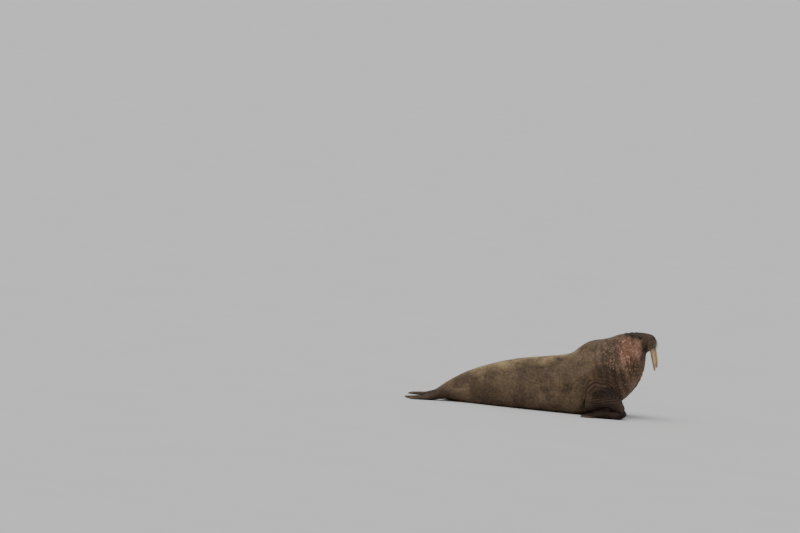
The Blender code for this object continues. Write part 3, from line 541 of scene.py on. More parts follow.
def shares_along():
    """How far along the unwrap each trunk section lies: midway between its real place and an even spacing."""
    ahead = [(station[1] + station[3]) / 2 for station in STATIONS]
    even = [i / (len(STATIONS) - 1) for i in range(len(STATIONS))]
    return [(share + (x - ahead[0]) / (ahead[-1] - ahead[0])) / 2 for share, x in zip(even, ahead)]


def join_sections(bm, rings):
    """The quads between the trunk's sections, apart from those that make way for the limbs."""
    shares = shares_along()
    for i in range(len(rings) - 1):
        for j in range(RING_POINTS):
            if in_hole(i, j):
                continue
            n = (j + 1) % RING_POINTS
            places = [place_on(BODY_ISLAND, shares[a], b / RING_POINTS)
                      for a, b in ((i, j), (i, j + 1), (i + 1, j + 1), (i + 1, j))]
            add_face(bm, [rings[i][j], rings[i][n], rings[i + 1][n], rings[i + 1][j]], places)


def walrus_cage():
    """The whole animal as a coarse cage of quads with its unwrap, for Subdivision Surface to round."""
    bm = bmesh.new()
    bm.loops.layers.uv.new(FLAT_MAP)
    rings = [[bm.verts.new(point) for point in ring_of(station)] for station in STATIONS]
    join_sections(bm, rings)
    cap_with_grid(bm, rings[0], -0.012, CAP_ISLANDS[0])
    cap_with_grid(bm, rings[-1], 0.008, CAP_ISLANDS[1])
    for n, (_, side) in enumerate(SIDES):
        fore = limb_rings(FORE_SECTIONS, FORE_SLANT, side)
        hind = limb_rings(HIND_SECTIONS, HIND_SLANT, side)
        add_limb(bm, rings, FORE_HOLE_RINGS, FORE_HOLE_POINTS, side, fore, LIMB_ISLANDS[n])
        add_limb(bm, rings, HIND_HOLE_RINGS, HIND_HOLE_POINTS, side, hind, LIMB_ISLANDS[n + 2])
    bmesh.ops.recalc_face_normals(bm, faces=bm.faces)
    mesh = bpy.data.meshes.new("walrus")
    bm.to_mesh(mesh)
    bm.free()
    return mesh


def smooth_step(low, high, value):
    share = np.clip((value - low) / (high - low), 0.0, 1.0)
    return share * share * (3.0 - 2.0 * share)


def falloff(distance):
    """The strength of a brush: 1 at its middle and 0 from its rim outwards."""
    return 1.0 - smooth_step(0.0, 1.0, distance)


def folded(points):
    """The points with the right side laid over the left one."""
    return np.column_stack((points[:, 0], np.abs(points[:, 1]), points[:, 2]))


def swell(points, centre, radii, push):
    """Moves what lies near a centre by push. Both are given for the left side and act on both sides."""
    offset = (folded(points) - np.array(centre)) / np.array(radii)
    move = falloff(np.linalg.norm(offset, axis=1))[:, None] * np.array(push)
    move[:, 1] *= np.sign(points[:, 1])
    return points + move


def distance_to_path(points, path):
    """How far each point, laid over on the left side, is from a line through the path's corners."""
    nearest = np.full(len(points), np.inf)
    for corner, following in zip(path, path[1:]):
        corner = np.array(corner)
        along = np.array(following) - corner
        offset = folded(points) - corner
        share = np.clip(offset @ along / (along @ along), 0.0, 1.0)
        nearest = np.minimum(nearest, np.linalg.norm(offset - share[:, None] * along, axis=1))
    return nearest


def groove(points, normals, path, radius, depth, lip=0.25):
    """Presses in a fold along a path and raises its rims a little. A negative depth makes a ridge."""
    distance = distance_to_path(points, path) / radius
    profile = falloff(distance) - lip * falloff(np.abs(distance - 1.1) / 0.7)
    return points - normals * (depth * profile)[:, None]


def swell_all(points, swells):
    for centre, radii, push in swells:
        points = swell(points, centre, radii, push)
    return points


def groove_all(points, normals, grooves):
    for path, radius, depth, lip in grooves:
        points = groove(points, normals, path, radius, depth, lip)
    return points


def shape_head(points, normals):
    """The muzzle's two pads, the narrow lower jaw, the mouth, the nose and the swellings round the eyes."""
    beneath = smooth_step(1.082, 1.030, points[:, 2]) * smooth_step(0.795, 0.880, points[:, 0])
    points = points * np.column_stack((np.ones(len(points)), 1.0 - 0.40 * beneath, np.ones(len(points))))
    return groove_all(swell_all(points, HEAD_SWELLS), normals, HEAD_GROOVES)


def shape_body(points, normals):
    """The shoulder, elbow and heel, the rump, and the large folds of the elbow, the arm pit and the neck."""
    points = groove_all(swell_all(points, BODY_SWELLS), normals, BODY_GROOVES)
    for t in NECK_RINGS:
        ring = [(0.470 + t, 0.0, 1.245), (0.520 + t, 0.230, 1.150), (0.600 + t, 0.330, 0.900),
                (0.680 + t * 0.7, 0.240, 0.640), (0.750 + t * 0.5, 0.000, 0.520 + t)]
        points = groove(points, normals, ring, 0.038, 0.007)
    return points


def shape_digits(points, normals):
    """Five ridges on each flipper, from wrist or ankle to the tips, and tips that reach a little further."""
    for root, tips in ((FORE_WRIST, FORE_DIGIT_TIPS), (HIND_ANKLE, HIND_DIGIT_TIPS)):
        for tip_x, tip_y in tips:
            path = [root, (tip_x, tip_y, 0.025)]
            points = groove(points, normals, path, DIGIT_HALF_WIDTH, -0.008, 0.5)
            along = np.array((tip_x, tip_y)) - np.array(root[:2])
            push = along / np.linalg.norm(along) * 0.016
            points = swell(points, (tip_x, tip_y, 0.014), (0.050, 0.034, 0.050), (push[0], push[1], 0.0))
    return points


def settle(points):
    """Lays whatever would sink below the floor flat on it."""
    points[:, 2] = np.maximum(points[:, 2], 0.0)
    return points


def pose(points):
    """Turns the head a little to the right with its right side lower, and sets the left fore flipper back."""
    lean = points[:, 0] + NECK_LEAN * (points[:, 2] - 1.27)
    share = smooth_step(*TURN_RANGE, lean)
    roll = share * HEAD_ROLL
    side, height = points[:, 1].copy(), points[:, 2] - HEAD_AXIS_HEIGHT
    points[:, 1] = side * np.cos(roll) - height * np.sin(roll)
    points[:, 2] = HEAD_AXIS_HEIGHT + side * np.sin(roll) + height * np.cos(roll)
    turn = -share * HEAD_TURN
    ahead, side = points[:, 0] - TURN_PIVOT, points[:, 1].copy()
    points[:, 0] = TURN_PIVOT + ahead * np.cos(turn) - side * np.sin(turn)
    points[:, 1] = ahead * np.sin(turn) + side * np.cos(turn)
    reach = smooth_step(0.30, 0.48, points[:, 1]) * smooth_step(0.62, 0.30, points[:, 2])
    reach *= smooth_step(-0.20, -0.02, points[:, 0])
    points[:, 0] += FAR_FORE_SHIFT * reach
    return points


def vertex_data(mesh):
    """The place and the normal of every vertex, one to a row."""
    count = len(mesh.vertices)
    points, normals = np.empty(count * 3), np.empty(count * 3)
    mesh.vertices.foreach_get("co", points)
    mesh.vertices.foreach_get("normal", normals)
    return points.reshape(-1, 3), normals.reshape(-1, 3)


def head_frame():
    """The turn and roll of the head proper, as one rigid move."""
    roll = Matrix.Translation((0, 0, HEAD_AXIS_HEIGHT)) @ Matrix.Rotation(HEAD_ROLL, 4, "X")
    roll @= Matrix.Translation((0, 0, -HEAD_AXIS_HEIGHT))
    turn = Matrix.Translation((TURN_PIVOT, 0, 0)) @ Matrix.Rotation(-HEAD_TURN, 4, "Z")
    return turn @ Matrix.Translation((-TURN_PIVOT, 0, 0)) @ roll


def head_place():
    """Where the head's own frame, before its turn and roll, lies in the model."""
    return Matrix.Translation((ORIGIN_SHIFT, 0, 0)) @ head_frame()


def add_object(name, data):
    made = bpy.data.objects.new(name, data)
    bpy.context.scene.collection.objects.link(made)
    return made


def add_piece(name, mesh, nodes=(), place=Matrix()):
    """Adds a visible piece that rides on the body and takes the place of some nodes."""
    piece = add_object(name, mesh)
    piece.matrix_world = place
    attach(piece, "root")
    if nodes:
        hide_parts(*nodes)
    return piece


def shape(mesh, shaping):
    """Moves a mesh's vertices by a function of their places and normals."""
    points, normals = vertex_data(mesh)
    mesh.vertices.foreach_set("co", shaping(points, normals).ravel())
    mesh.update()


def walrus_mesh():
    """The whole animal's rounded cage with the large forms of the solids, before its pose."""
    cage = add_object("cage", walrus_cage())
    rounding = cage.modifiers.new("rounding", "SUBSURF")
    rounding.levels = rounding.render_levels = SKIN_LEVELS
    mesh = bpy.data.meshes.new_from_object(cage.evaluated_get(bpy.context.evaluated_depsgraph_get()))
    bpy.data.objects.remove(cage)
    for shaping in (shape_body, shape_head, shape_digits):
        shape(mesh, shaping)
    return mesh


def within(point, centre, radii):
    """Whether a point, laid over to the left side, is inside an ellipsoid."""
    offset = (point.x - centre[0], abs(point.y) - centre[1], point.z - centre[2])
    return sum((away / radius) ** 2 for away, radius in zip(offset, radii)) < 1.0


def divide_finer(mesh):
    """Divides the faces of the neck, the arms, the eyes, the nostrils and the mouth."""
    bm = bmesh.new()
    bm.from_mesh(mesh)
    for centre, radii, times in FINE_PLACES:
        for _ in range(times):
            near = {vert for vert in bm.verts if within(vert.co, centre, radii)}
            edges = [edge for edge in bm.edges if edge.verts[0] in near and edge.verts[1] in near]
            bmesh.ops.subdivide_edges(bm, edges=edges, cuts=1, use_grid_fill=True)
    bm.to_mesh(mesh)
    bm.free()


def noise_at(points, scale, seed):
    """Smooth noise between about -1 and 1 at each point."""
    shift = Vector((seed, seed * 1.7, seed * 2.3))
    return np.array([noise.noise(Vector(point) * scale + shift) for point in points])


def cells_at(points, scale):
    """How far each point is inside its cell, from 0 on its border, and a chance value for each cell."""
    gaps, chances = [], []
    for point in points * scale:
        distances, middles = noise.voronoi(Vector(point))
        gaps.append(distances[1] - distances[0])
        chances.append(noise.cell(middles[0] * 9.0))
    return np.array(gaps), np.array(chances)


def eye_frame():
    """The left eye's own axes before the head's turn: along its opening to the front, up, and outward."""
    outward = Vector(EYE_AXIS).normalized()
    up = (Vector((0, 0, 1)) - outward * outward.z).normalized()
    tilt = Matrix.Rotation(EYE_TILT, 3, outward)
    return tilt @ up.cross(outward) * -1.0, tilt @ up, outward


def shape_lids(points, normals):
    """Opens the lids over each eyeball, with a rolled rim, a crease and a fold round them."""
    ahead, up, outward = (np.array(axis) for axis in eye_frame())
    mirrored = folded(points)
    offset = mirrored - np.array(EYE_CENTRE)
    along, above, height = offset @ ahead, offset @ up, offset @ outward
    wide = np.hypot(along / LID_HALF_LENGTH, above / LID_HALF_HEIGHT)
    beyond = (wide - 1.0) * LID_HALF_HEIGHT
    reach = np.hypot(along, above)
    ball = np.sqrt(np.maximum(EYE_RADIUS ** 2 - reach ** 2, (0.62 * EYE_RADIUS) ** 2))
    merge = smooth_step(0.0030, 0.0200, beyond) * 0.75 + smooth_step(0.010, 0.034, beyond) * 0.25
    target = (ball + LID_THICKNESS) * (1.0 - merge) + height * merge
    upper = smooth_step(-0.004, 0.008, above)
    target -= 0.0020 * (0.4 + 0.6 * upper) * falloff(np.abs(beyond - 0.0065) / 0.0030)
    target += 0.0018 * falloff(np.abs(beyond - 0.0105) / 0.0040)
    target -= 0.0012 * falloff(np.abs(beyond - 0.0160) / 0.0035)
    inside = smooth_step(0.0002, -0.0012, beyond)
    target = target * (1.0 - inside) + (ball - 0.0040) * inside
    near = smooth_step(0.045, 0.036, reach) * (height > -0.02)
    move = ((target - height) * near)[:, None] * outward
    move[:, 1] *= np.sign(points[:, 1])
    return points + move


def shape_nose(points, normals):
    """The nostrils, two crescents high on the muzzle's front, with raised wings and a furrow between."""
    aside = np.abs(points[:, 1])
    below = NOSE_FALL[0] * (points[:, 0] - NOSE_PLACE[0]) - NOSE_FALL[1] * (points[:, 2] - NOSE_PLACE[2])
    front = smooth_step(0.915, 0.930, points[:, 0]) * smooth_step(1.16, 1.18, points[:, 2])
    angle = np.arctan2((below - 0.002) / 1.35, aside - 0.011)
    ring = np.hypot(aside - 0.011, (below - 0.002) / 1.35)
    reach = falloff(np.abs(angle - 0.10) / 1.75)
    slit = falloff(np.abs(ring - 0.0155) / (0.0020 + 0.0042 * reach)) * smooth_step(0.05, 0.45, reach)
    wing = falloff(np.abs(ring - 0.0240) / 0.0075) * reach
    lobe = falloff(ring / 0.0125) * smooth_step(0.003, 0.010, aside)
    furrow = falloff(aside / 0.0045) * falloff(np.abs(below - 0.012) / 0.045)
    push = front * (-0.0100 * slit + 0.0032 * wing + 0.0016 * lobe - 0.0026 * furrow)
    points = points + normals * push[:, None]
    for ahead in (0.862, 0.880, 0.898):
        crease = [(ahead - 0.012, 0.062, 1.238), (ahead, 0.030, 1.258), (ahead + 0.004, 0.0, 1.264)]
        points = groove(points, normals, crease, 0.010, 0.0022)
    return points


def shape_mouth(points, normals):
    """The slit of the mouth, the folds at its corner and the rolled gum round each tusk."""
    points = groove(points, normals, *MOUTH_SLIT)
    for lower in (0.0, 0.022, 0.046):
        fold = [(0.812 - lower * 0.5, 0.152, 1.062 - lower), (0.842, 0.128, 1.040 - lower),
                (0.868, 0.085, 1.024 - lower)]
        points = groove(points, normals, fold, 0.012, 0.0035)
    return groove(points, normals, [TUSK_ROOT, TUSK_TIP], 0.042, 0.0100, 0.55)


def shape_ear(points, normals):
    """The small opening of each ear behind and below the eye, which has no flap, only a fold over it."""
    return groove_all(points, normals, [EAR_HOLE, EAR_FOLD])


def shape_whisker_beds(points, normals):
    """Fine folds between the rows of whiskers on each pad."""
    offset = (folded(points) - (0.945, 0.085, 1.130)) / (0.075, 0.085, 0.085)
    pad = falloff(np.linalg.norm(offset, axis=1) * 0.8)
    rows = np.cos((points[:, 2] + 0.25 * np.abs(points[:, 1])) / WHISKER_ROW_GAP * math.tau)
    return points + normals * (0.0011 * pad * rows)[:, None]


def along_spine(points):
    """How far along the body each point is, with sections that lean back as the neck rises."""
    lean = smooth_step(-0.45, 0.45, points[:, 0])
    return points[:, 0] + 0.40 * lean * (points[:, 2] - 0.5)


def waves(level, spacing, sharpness=0.6):
    """Creases at every spacing of a level: 1 in the bottom of each and 0 midway between two."""
    return 1.0 - np.abs(np.sin(level / spacing * math.pi)) ** sharpness


def bosses(points):
    """The thick lumps on a bull's neck, in rows across it, from 0 in the creases to 1 on the tallest."""
    wander = np.column_stack([noise_at(points, 6.0, seed) for seed in (11.0, 13.0, 17.0)]) * 0.034
    wander += np.column_stack([noise_at(points, 19.0, seed) for seed in (21.0, 23.0, 27.0)]) * 0.010
    places = points + wander
    places[:, 0] = along_spine(places)
    gaps, chances = cells_at(places, (36.0, 27.0, 20.0))
    return smooth_step(0.0, 0.36, gaps) * (0.66 + 0.34 * chances)


def crease_neck(push, points, warp, comes_and_goes):
    """Two sizes of creases that ring the neck and the shoulders, but not the arms."""
    spine = along_spine(points)
    arm = smooth_step(0.42, 0.24, points[:, 2]) * smooth_step(0.40, 0.52, np.abs(points[:, 1]))
    neck = smooth_step(-0.05, 0.35, spine) * smooth_step(0.80, 0.62, points[:, 0]) * (1.0 - arm)
    push -= 0.0085 * neck * np.clip(comes_and_goes, 0.0, 1.2) * waves(spine + warp, 0.118)
    push -= 0.0040 * neck * np.clip(1.1 - comes_and_goes, 0.0, 1.0) * waves(spine + warp * 1.6, 0.047)


def raise_bosses(push, points):
    """The bosses of the neck, which fade out on the shoulders, the low chest and the cheeks."""
    x, z = points[:, 0], points[:, 2]
    cheek = smooth_step(0.745, 0.64, x - 0.12 * smooth_step(1.17, 1.07, z))
    bull = smooth_step(0.08, 0.36, x) * cheek * smooth_step(0.22, 0.50, z)
    amount = np.clip(0.85 + 0.8 * noise_at(points, 5.0, 19.0), 0.25, 1.3)
    near = bull > 0.0
    lumps = np.zeros(len(points))
    lumps[near] = bosses(points[near])
    push += 0.0120 * bull * amount * (lumps - 0.50)


def fold_trunk(push, points, warp, comes_and_goes):
    """Long shallow folds and hollows on the flanks."""
    x, z = points[:, 0], points[:, 2]
    spine = along_spine(points)
    trunk = smooth_step(0.30, -0.10, spine) * smooth_step(-2.1, -1.7, x) * smooth_step(0.05, 0.25, z)
    push -= 0.0034 * trunk * np.clip(comes_and_goes, 0.0, 1.0) * waves(x + warp * 1.8, 0.235, 0.7)
    push -= 0.0022 * trunk * np.clip(0.9 - comes_and_goes, 0.0, 1.0) * waves(x + warp * 2.4, 0.083, 0.7)
    push += 0.0038 * trunk * noise_at(points * (1.0, 1.0, 0.5), 5.5, 7.0)


def roughen_face(push, points):
    """The uneven skin of the face, smooth round the eyes."""
    from_eye = np.linalg.norm(folded(points) - EYE_CENTRE, axis=1)
    face = smooth_step(0.70, 0.80, points[:, 0]) * smooth_step(0.045, 0.060, from_eye)
    push += 0.0016 * face * noise_at(points, 30.0, 1.0)


def shape_folds(points, normals):
    """Creases, bosses and folds of the neck, trunk and face, which come and go along the body."""
    warp = noise_at(points, 3.1, 4.0) * 0.055 + noise_at(points, 9.0, 9.0) * 0.018
    comes_and_goes = 0.55 + 0.9 * noise_at(points * (1.0, 1.0, 0.6), 4.6, 2.0)
    push = np.zeros(len(points))
    crease_neck(push, points, warp, comes_and_goes)
    raise_bosses(push, points)
    fold_trunk(push, points, warp, comes_and_goes)
    roughen_face(push, points)
    return points + normals * push[:, None]


def shape_limbs(points, normals):
    """Wrinkles across the fore arm above the hand, arcs over the elbow, and folds across heel and hand."""
    x, y, z = points[:, 0], np.abs(points[:, 1]), points[:, 2]
    warp = noise_at(points, 7.0, 5.0) * 0.012 + noise_at(points, 16.0, 8.0) * 0.005
    comes_and_goes = np.clip(0.75 + 1.1 * noise_at(points, 8.0, 6.0), 0.1, 1.2)
    fore_arm = smooth_step(0.44, 0.54, y) * smooth_step(-0.02, 0.08, x) * smooth_step(0.56, 0.44, x)
    fore_arm *= smooth_step(0.075, 0.110, z) * smooth_step(0.34, 0.27, z)
    push = -0.0090 * fore_arm * comes_and_goes * waves(z - 0.22 * (x - 0.25) + warp * 1.4, 0.036)
    elbow = smooth_step(0.40, 0.48, y) * smooth_step(0.27, 0.34, z)
    elbow = elbow * smooth_step(0.68, 0.50, z) * smooth_step(0.66, 0.46, x)
    around = np.hypot(x - 0.250, (z - 0.260) * 0.95) + warp * 2.2 + noise_at(points, 3.5, 31.0) * 0.05
    push -= 0.0130 * elbow * comes_and_goes * waves(around, 0.056)
    heel = smooth_step(0.44, 0.54, x) * smooth_step(0.30, 0.20, z)
    heel = heel * smooth_step(0.02, 0.05, z) * smooth_step(0.30, 0.40, y)
    push -= 0.0060 * heel * waves(z + 0.35 * x + warp, 0.034)
    hand = smooth_step(0.50, 0.40, x) * smooth_step(0.115, 0.080, z)
    hand = hand * smooth_step(0.50, 0.56, y) * smooth_step(0.0, 0.012, z)
    push += 0.0022 * hand * noise_at(points * (1.0, 1.6, 1.0), 34.0, 3.0)
    return points + normals * push[:, None]


def carve(mesh):
    """Carves folds and bosses, and keeps how far each vertex was moved out or in, which colours it there:
    painted shade in the hollows and a painted highlight on the bosses.

    The smooth trunk keeps less of it.
    """
    before, normals = vertex_data(mesh)
    shape(mesh, shape_folds)
    shape(mesh, shape_limbs)
    after, _ = vertex_data(mesh)
    relief = np.clip(np.sum((after - before) * normals, axis=1) / RELIEF_DEPTH, -1.0, 1.0)
    relief *= 0.45 + 0.55 * smooth_step(-0.10, 0.20, along_spine(before))
    mesh.attributes.new(RELIEF, "FLOAT", "POINT").data.foreach_set("value", relief)


def press_in(points, normals):
    """Draws the skin in by the depth of the coat, except where it lies on the floor."""
    move = normals * COAT_DEPTH
    move[:, 2] *= smooth_step(0.0, 0.06, points[:, 2])
    return points - move


def thinned(mesh):
    """The mesh with fewer triangles where it is nearly flat."""
    mesh.calc_loop_triangles()
    rough = add_object("rough", mesh)
    rough.modifiers.new("thin", "DECIMATE").ratio = SKIN_TRIANGLES / len(mesh.loop_triangles)
    graph = bpy.context.evaluated_depsgraph_get()
    result = bpy.data.meshes.new_from_object(rough.evaluated_get(graph), preserve_all_data_layers=True,
                                             depsgraph=graph)
    bpy.data.objects.remove(rough)
    return result


def make_skin():
    mesh = walrus_mesh()
    divide_finer(mesh)
    carve(mesh)
    for shaping in (press_in, shape_nose, shape_mouth, shape_ear, shape_whisker_beds, shape_lids):
        shape(mesh, shaping)
    points, _ = vertex_data(mesh)
    points = pose(settle(points)) + (ORIGIN_SHIFT, 0.0, 0.0)
    mesh.vertices.foreach_set("co", points.ravel())
    mesh.update()
    mesh = thinned(mesh)
    mesh.polygons.foreach_set("use_smooth", np.ones(len(mesh.polygons), dtype=bool))
    mesh.name = "skin"
    return add_piece("skin", mesh, FLESH)


def smooth_mesh(name, points, faces):
    """A smooth-shaded mesh from points and faces."""
    mesh = bpy.data.meshes.new(name)
    mesh.from_pydata(points, [], faces)
    mesh.polygons.foreach_set("use_smooth", [True] * len(mesh.polygons))
    mesh.update()
    return mesh


def tube_faces(rings, points, first=0):
    """The faces of a closed tube of rings with as many points each, whose ends are flat."""
    faces = []
    for i in range(rings - 1):
        for k in range(points):
            n = (k + 1) % points
            row, following = first + i * points, first + (i + 1) * points
            faces.append((row + k, row + n, following + n, following + k))
    faces.append(tuple(first + k for k in reversed(range(points))))
    faces.append(tuple(first + (rings - 1) * points + k for k in range(points)))
    return faces


def tusk_size(angle, share, side):
    """The tusk's size at a spot of its surface, less in the shallow grooves that fade towards the tip."""
    streak = noise.noise(Vector((math.cos(angle) * 2.6, math.sin(angle) * 2.6, share * 1.8 + side * 5)))
    dents = noise.noise(Vector((angle * 3.0, share * 14.0, side * 3)))
    return 1.0 - 0.045 * max(0.0, streak) * (1.0 - share) - 0.012 * dents


def make_tusk(name, side):
    """A tusk with shallow grooves along it, smoothed by wear towards a blunt tip."""
    shorter = TUSK_TIP_SHORTER if side > 0 else 0.0
    root, tip = Vector(TUSK_ROOT), Vector(TUSK_TIP) + Vector((-0.25, 0.0, 1.0)) * shorter
    shares, breadths = zip(*TUSK_PROFILE)
    place = head_place()
    points = []
    for i in range(TUSK_RINGS):
        share = 1.0 - (1.0 - i / (TUSK_RINGS - 1)) ** 1.35
        breadth = float(np.interp(share, shares, breadths))
        centre = root.lerp(tip, share) + Vector((TUSK_BOW * math.sin(math.pi * share), 0, 0))
        for k in range(TUSK_POINTS):
            angle = math.tau * k / TUSK_POINTS
            size = tusk_size(angle, share, side)
            fore = TUSK_FORE_RADIUS * math.cos(angle) * size
            across = TUSK_SIDE_RADIUS * math.sin(angle) * size
            point = centre + Vector((fore, across, fore * 0.22)) * breadth
            points.append(place @ Vector((point.x, point.y * side, point.z)))
    mesh = smooth_mesh(name, points, tube_faces(TUSK_RINGS, TUSK_POINTS))
    return add_piece(name, mesh, [name])


def eyeball_verts(bm):
    """The rings of an eyeball's vertices from its front to its back, where the cornea stands up a little."""
    rings = []
    for i in range(EYE_RINGS + 1):
        polar = math.pi * i / EYE_RINGS
        radius = EYE_RADIUS + CORNEA_HEIGHT * (1.0 - min(1.0, polar / CORNEA_ANGLE) ** 2)
        ring = []
        for k in range(EYE_POINTS):
            angle = math.tau * k / EYE_POINTS
            aside, above = math.sin(polar) * math.cos(angle), math.sin(polar) * math.sin(angle)
            ring.append(bm.verts.new(Vector((aside, above, math.cos(polar))) * radius))
        rings.append(ring)
    return rings


def make_eye(name, side):
    """An eyeball with a slightly raised cornea. Its own Z axis looks out, and the iris is drawn round it."""
    bm = bmesh.new()
    rings = eyeball_verts(bm)
    for ring, following in zip(rings, rings[1:]):
        for k in range(EYE_POINTS):
            n = (k + 1) % EYE_POINTS
            bm.faces.new([ring[k], following[k], following[n], ring[n]])
    bmesh.ops.remove_doubles(bm, verts=bm.verts, dist=1e-6)
    bmesh.ops.recalc_face_normals(bm, faces=bm.faces)
    for face in bm.faces:
        face.smooth = True
    mesh = bpy.data.meshes.new(name)
    bm.to_mesh(mesh)
    bm.free()
    mirror = Matrix.Diagonal((1, side, 1, 1))
    turn = mirror @ Matrix.Translation(EYE_CENTRE) @ Matrix(eye_frame()).transposed().to_4x4()
    return add_piece(name, mesh, [name], head_place() @ turn)


def whisker_rays(side):
    """For each whisker of a pad: the ray on which it stands, its share of the row, its length and width."""
    for row in range(WHISKER_ROWS):
        low = 1.0 - row / (WHISKER_ROWS - 1)
        high = math.radians(WHISKER_LOWEST + WHISKER_RISE * row / (WHISKER_ROWS - 1))
        count = int(WHISKERS_IN_ROW * (0.75 + 0.35 * math.sin(math.pi * row / (WHISKER_ROWS - 1))))
        for n in range(count):
            share = (n + 0.5 * (row % 2)) / count
            wander = noise.noise(Vector((row * 3.1, n * 2.7, side)))
            turn = math.radians(WHISKER_FIRST + WHISKER_SPREAD * share + 3.0 * wander)
            ray = Vector((math.cos(turn) * math.cos(high), math.sin(turn) * math.cos(high), math.sin(high)))
            length = WHISKER_LENGTH * (0.50 + 0.45 * share + 0.30 * low + 0.25 * wander)
            yield ray, share, length, WHISKER_WIDTH * (0.75 + 0.35 * share)


def make_whiskers(skin):
    """Rows of stiff, flattened quills on each pad, longest low down at the sides."""
    tree = BVHTree.FromObject(skin, bpy.context.evaluated_depsgraph_get())
    place = head_place()
    turned = place.to_3x3()
    points, faces = [], []
    for _, side in SIDES:
        for ray, share, length, width in whisker_rays(side):
            start = Vector(WHISKER_CENTRE) + ray * 0.30
            start.y, ray.y = start.y * side, ray.y * side
            hit, normal, _, _ = tree.ray_cast(place @ start, turned @ -ray)
            if hit is None:
                continue
            down = turned @ Vector((0.10, 0.25 * side * share, -1.0)).normalized()
            add_quill(points, faces, hit, normal, down, length, width)
    return add_piece("whiskers", smooth_mesh("whiskers", points, faces))


def add_quill(points, faces, root, normal, down, length, width):
    """One whisker: it leaves the skin along its normal and droops."""
    first = len(points)
    across = normal.cross(down).normalized()
    rings = 5
    for i in range(rings):
        share = i / (rings - 1)
        centre = root - normal * 0.002 + normal * (length * (share - 0.35 * share ** 2))
        centre += down * (length * (0.28 * share + 0.42 * share ** 2))
        size = width * (1.0 - 0.75 * share ** 1.5) / 2
        thick = (normal * 0.6 - down * 0.8).normalized()
        for k in range(4):
            angle = math.tau * k / 4
            points.append(centre + across * (math.cos(angle) * size) + thick * (math.sin(angle) * size * 0.8))
    faces += tube_faces(rings, 4, first)


def make_nails(skin):
    """Small nails set back from the edge on the upper side of each digit."""
    tree = BVHTree.FromObject(skin, bpy.context.evaluated_depsgraph_get())
    points, faces = [], []
    fore = (FORE_WRIST, FORE_DIGIT_TIPS, FORE_NAILS, FAR_FORE_SHIFT)
    hind = (HIND_ANKLE, HIND_DIGIT_TIPS, HIND_NAILS, 0.0)
    for root, tips, lengths, left_shift in (fore, hind):
        for _, side in SIDES:
            shift = left_shift if side > 0 else 0.0
            for (tip_x, tip_y), length in zip(tips, lengths):
                along = Vector((tip_x - root[0], tip_y - root[1], 0.0)).normalized()
                spot = Vector((tip_x, tip_y, 0.0)) - along * (0.018 + 0.4 * length)
                start = Vector((spot.x + shift + ORIGIN_SHIFT, spot.y * side, 0.4))
                hit, normal, _, _ = tree.ray_cast(start, Vector((0, 0, -1)))
                if hit is None:
                    continue
                heading = Vector((along.x, along.y * side, 0.0))
                heading = (heading - normal * heading.dot(normal)).normalized()
                add_nail(points, faces, hit, heading, normal.cross(heading), normal, length)
    return add_piece("nails", smooth_mesh("nails", points, faces))


def add_nail(points, faces, root, heading, across, normal, length):
    """One nail: a low keel that narrows to a blunt tip lying just over the skin."""
    first, rings, around = len(points), 7, 10
    for i in range(rings):
        share = i / (rings - 1)
        wide = length * 0.24 * (1.0 - 0.75 * share ** 2) * (0.55 + 0.45 * min(1.0, share * 5))
        tall = length * 0.16 * (1.0 - 0.55 * share) * (0.5 + 0.5 * min(1.0, share * 4))
        centre = root + heading * (length * (share - 0.5)) + normal * (0.0006 + 0.0012 * share)
        for k in range(around):
            angle = math.tau * k / around
            points.append(centre + across * (math.cos(angle) * wide) + normal * (math.sin(angle) * tall))
    faces += tube_faces(rings, around, first)


def lie_of_coat(points, normals):
    """Which way the hair lies: back from the nose, down on the arms and towards the tips of the flippers."""
    local = points - (ORIGIN_SHIFT, 0.0, 0.0)
    arm = smooth_step(0.45, 0.22, local[:, 2]) * smooth_step(0.38, 0.50, np.abs(local[:, 1]))
    hand = smooth_step(0.16, 0.06, local[:, 2]) * arm
    down = -0.25 - 0.9 * arm + 0.8 * hand
    out = 0.30 * hand * np.sign(local[:, 1])
    lie = np.column_stack((-np.ones(len(points)), out, down))
    lie -= normals * np.sum(lie * normals, axis=1)[:, None]
    return lie / np.maximum(np.linalg.norm(lie, axis=1), 1e-6)[:, None]


def array_of(items, name, width, kind=float):
    """One property of every item of a mesh as an array, one item to a row."""
    values = np.empty(len(items) * width, dtype=kind)
    items.foreach_get(name, values)
    return values.reshape(-1, width)


def scatter_roots(mesh, amount, rng):
    """Random spots on the skin, as densely as the hair stands: their places, normals, unwrap and relief."""
    mesh.calc_loop_triangles()
    corners = array_of(mesh.loop_triangles, "vertices", 3, np.int64)
    loops = array_of(mesh.loop_triangles, "loops", 3, np.int64)
    flat = array_of(mesh.uv_layers[FLAT_MAP].data, "uv", 2)
    relief = array_of(mesh.attributes[RELIEF].data, "value", 1)
    points, normals = vertex_data(mesh)
    a, b, c = (points[corners[:, k]] for k in range(3))
    area = np.linalg.norm(np.cross(b - a, c - a), axis=1) / 2
    wanted = area * coat_share((a + b + c) / 3)
    pick = np.searchsorted(np.cumsum(wanted) / wanted.sum(), rng.random(amount))
    pick = np.sort(np.minimum(pick, len(corners) - 1))
    weights = rng.random((amount, 2))
    over = weights.sum(axis=1) > 1
    weights[over] = 1 - weights[over]
    weights = np.column_stack((1 - weights.sum(axis=1), weights))

    def blended(values, indices):
        return sum(values[indices[pick, k]] * weights[:, k:k + 1] for k in range(3))

    normal = blended(normals, corners)
    normal /= np.linalg.norm(normal, axis=1)[:, None]
    return blended(points, corners), normal, blended(flat, loops), blended(relief, corners)


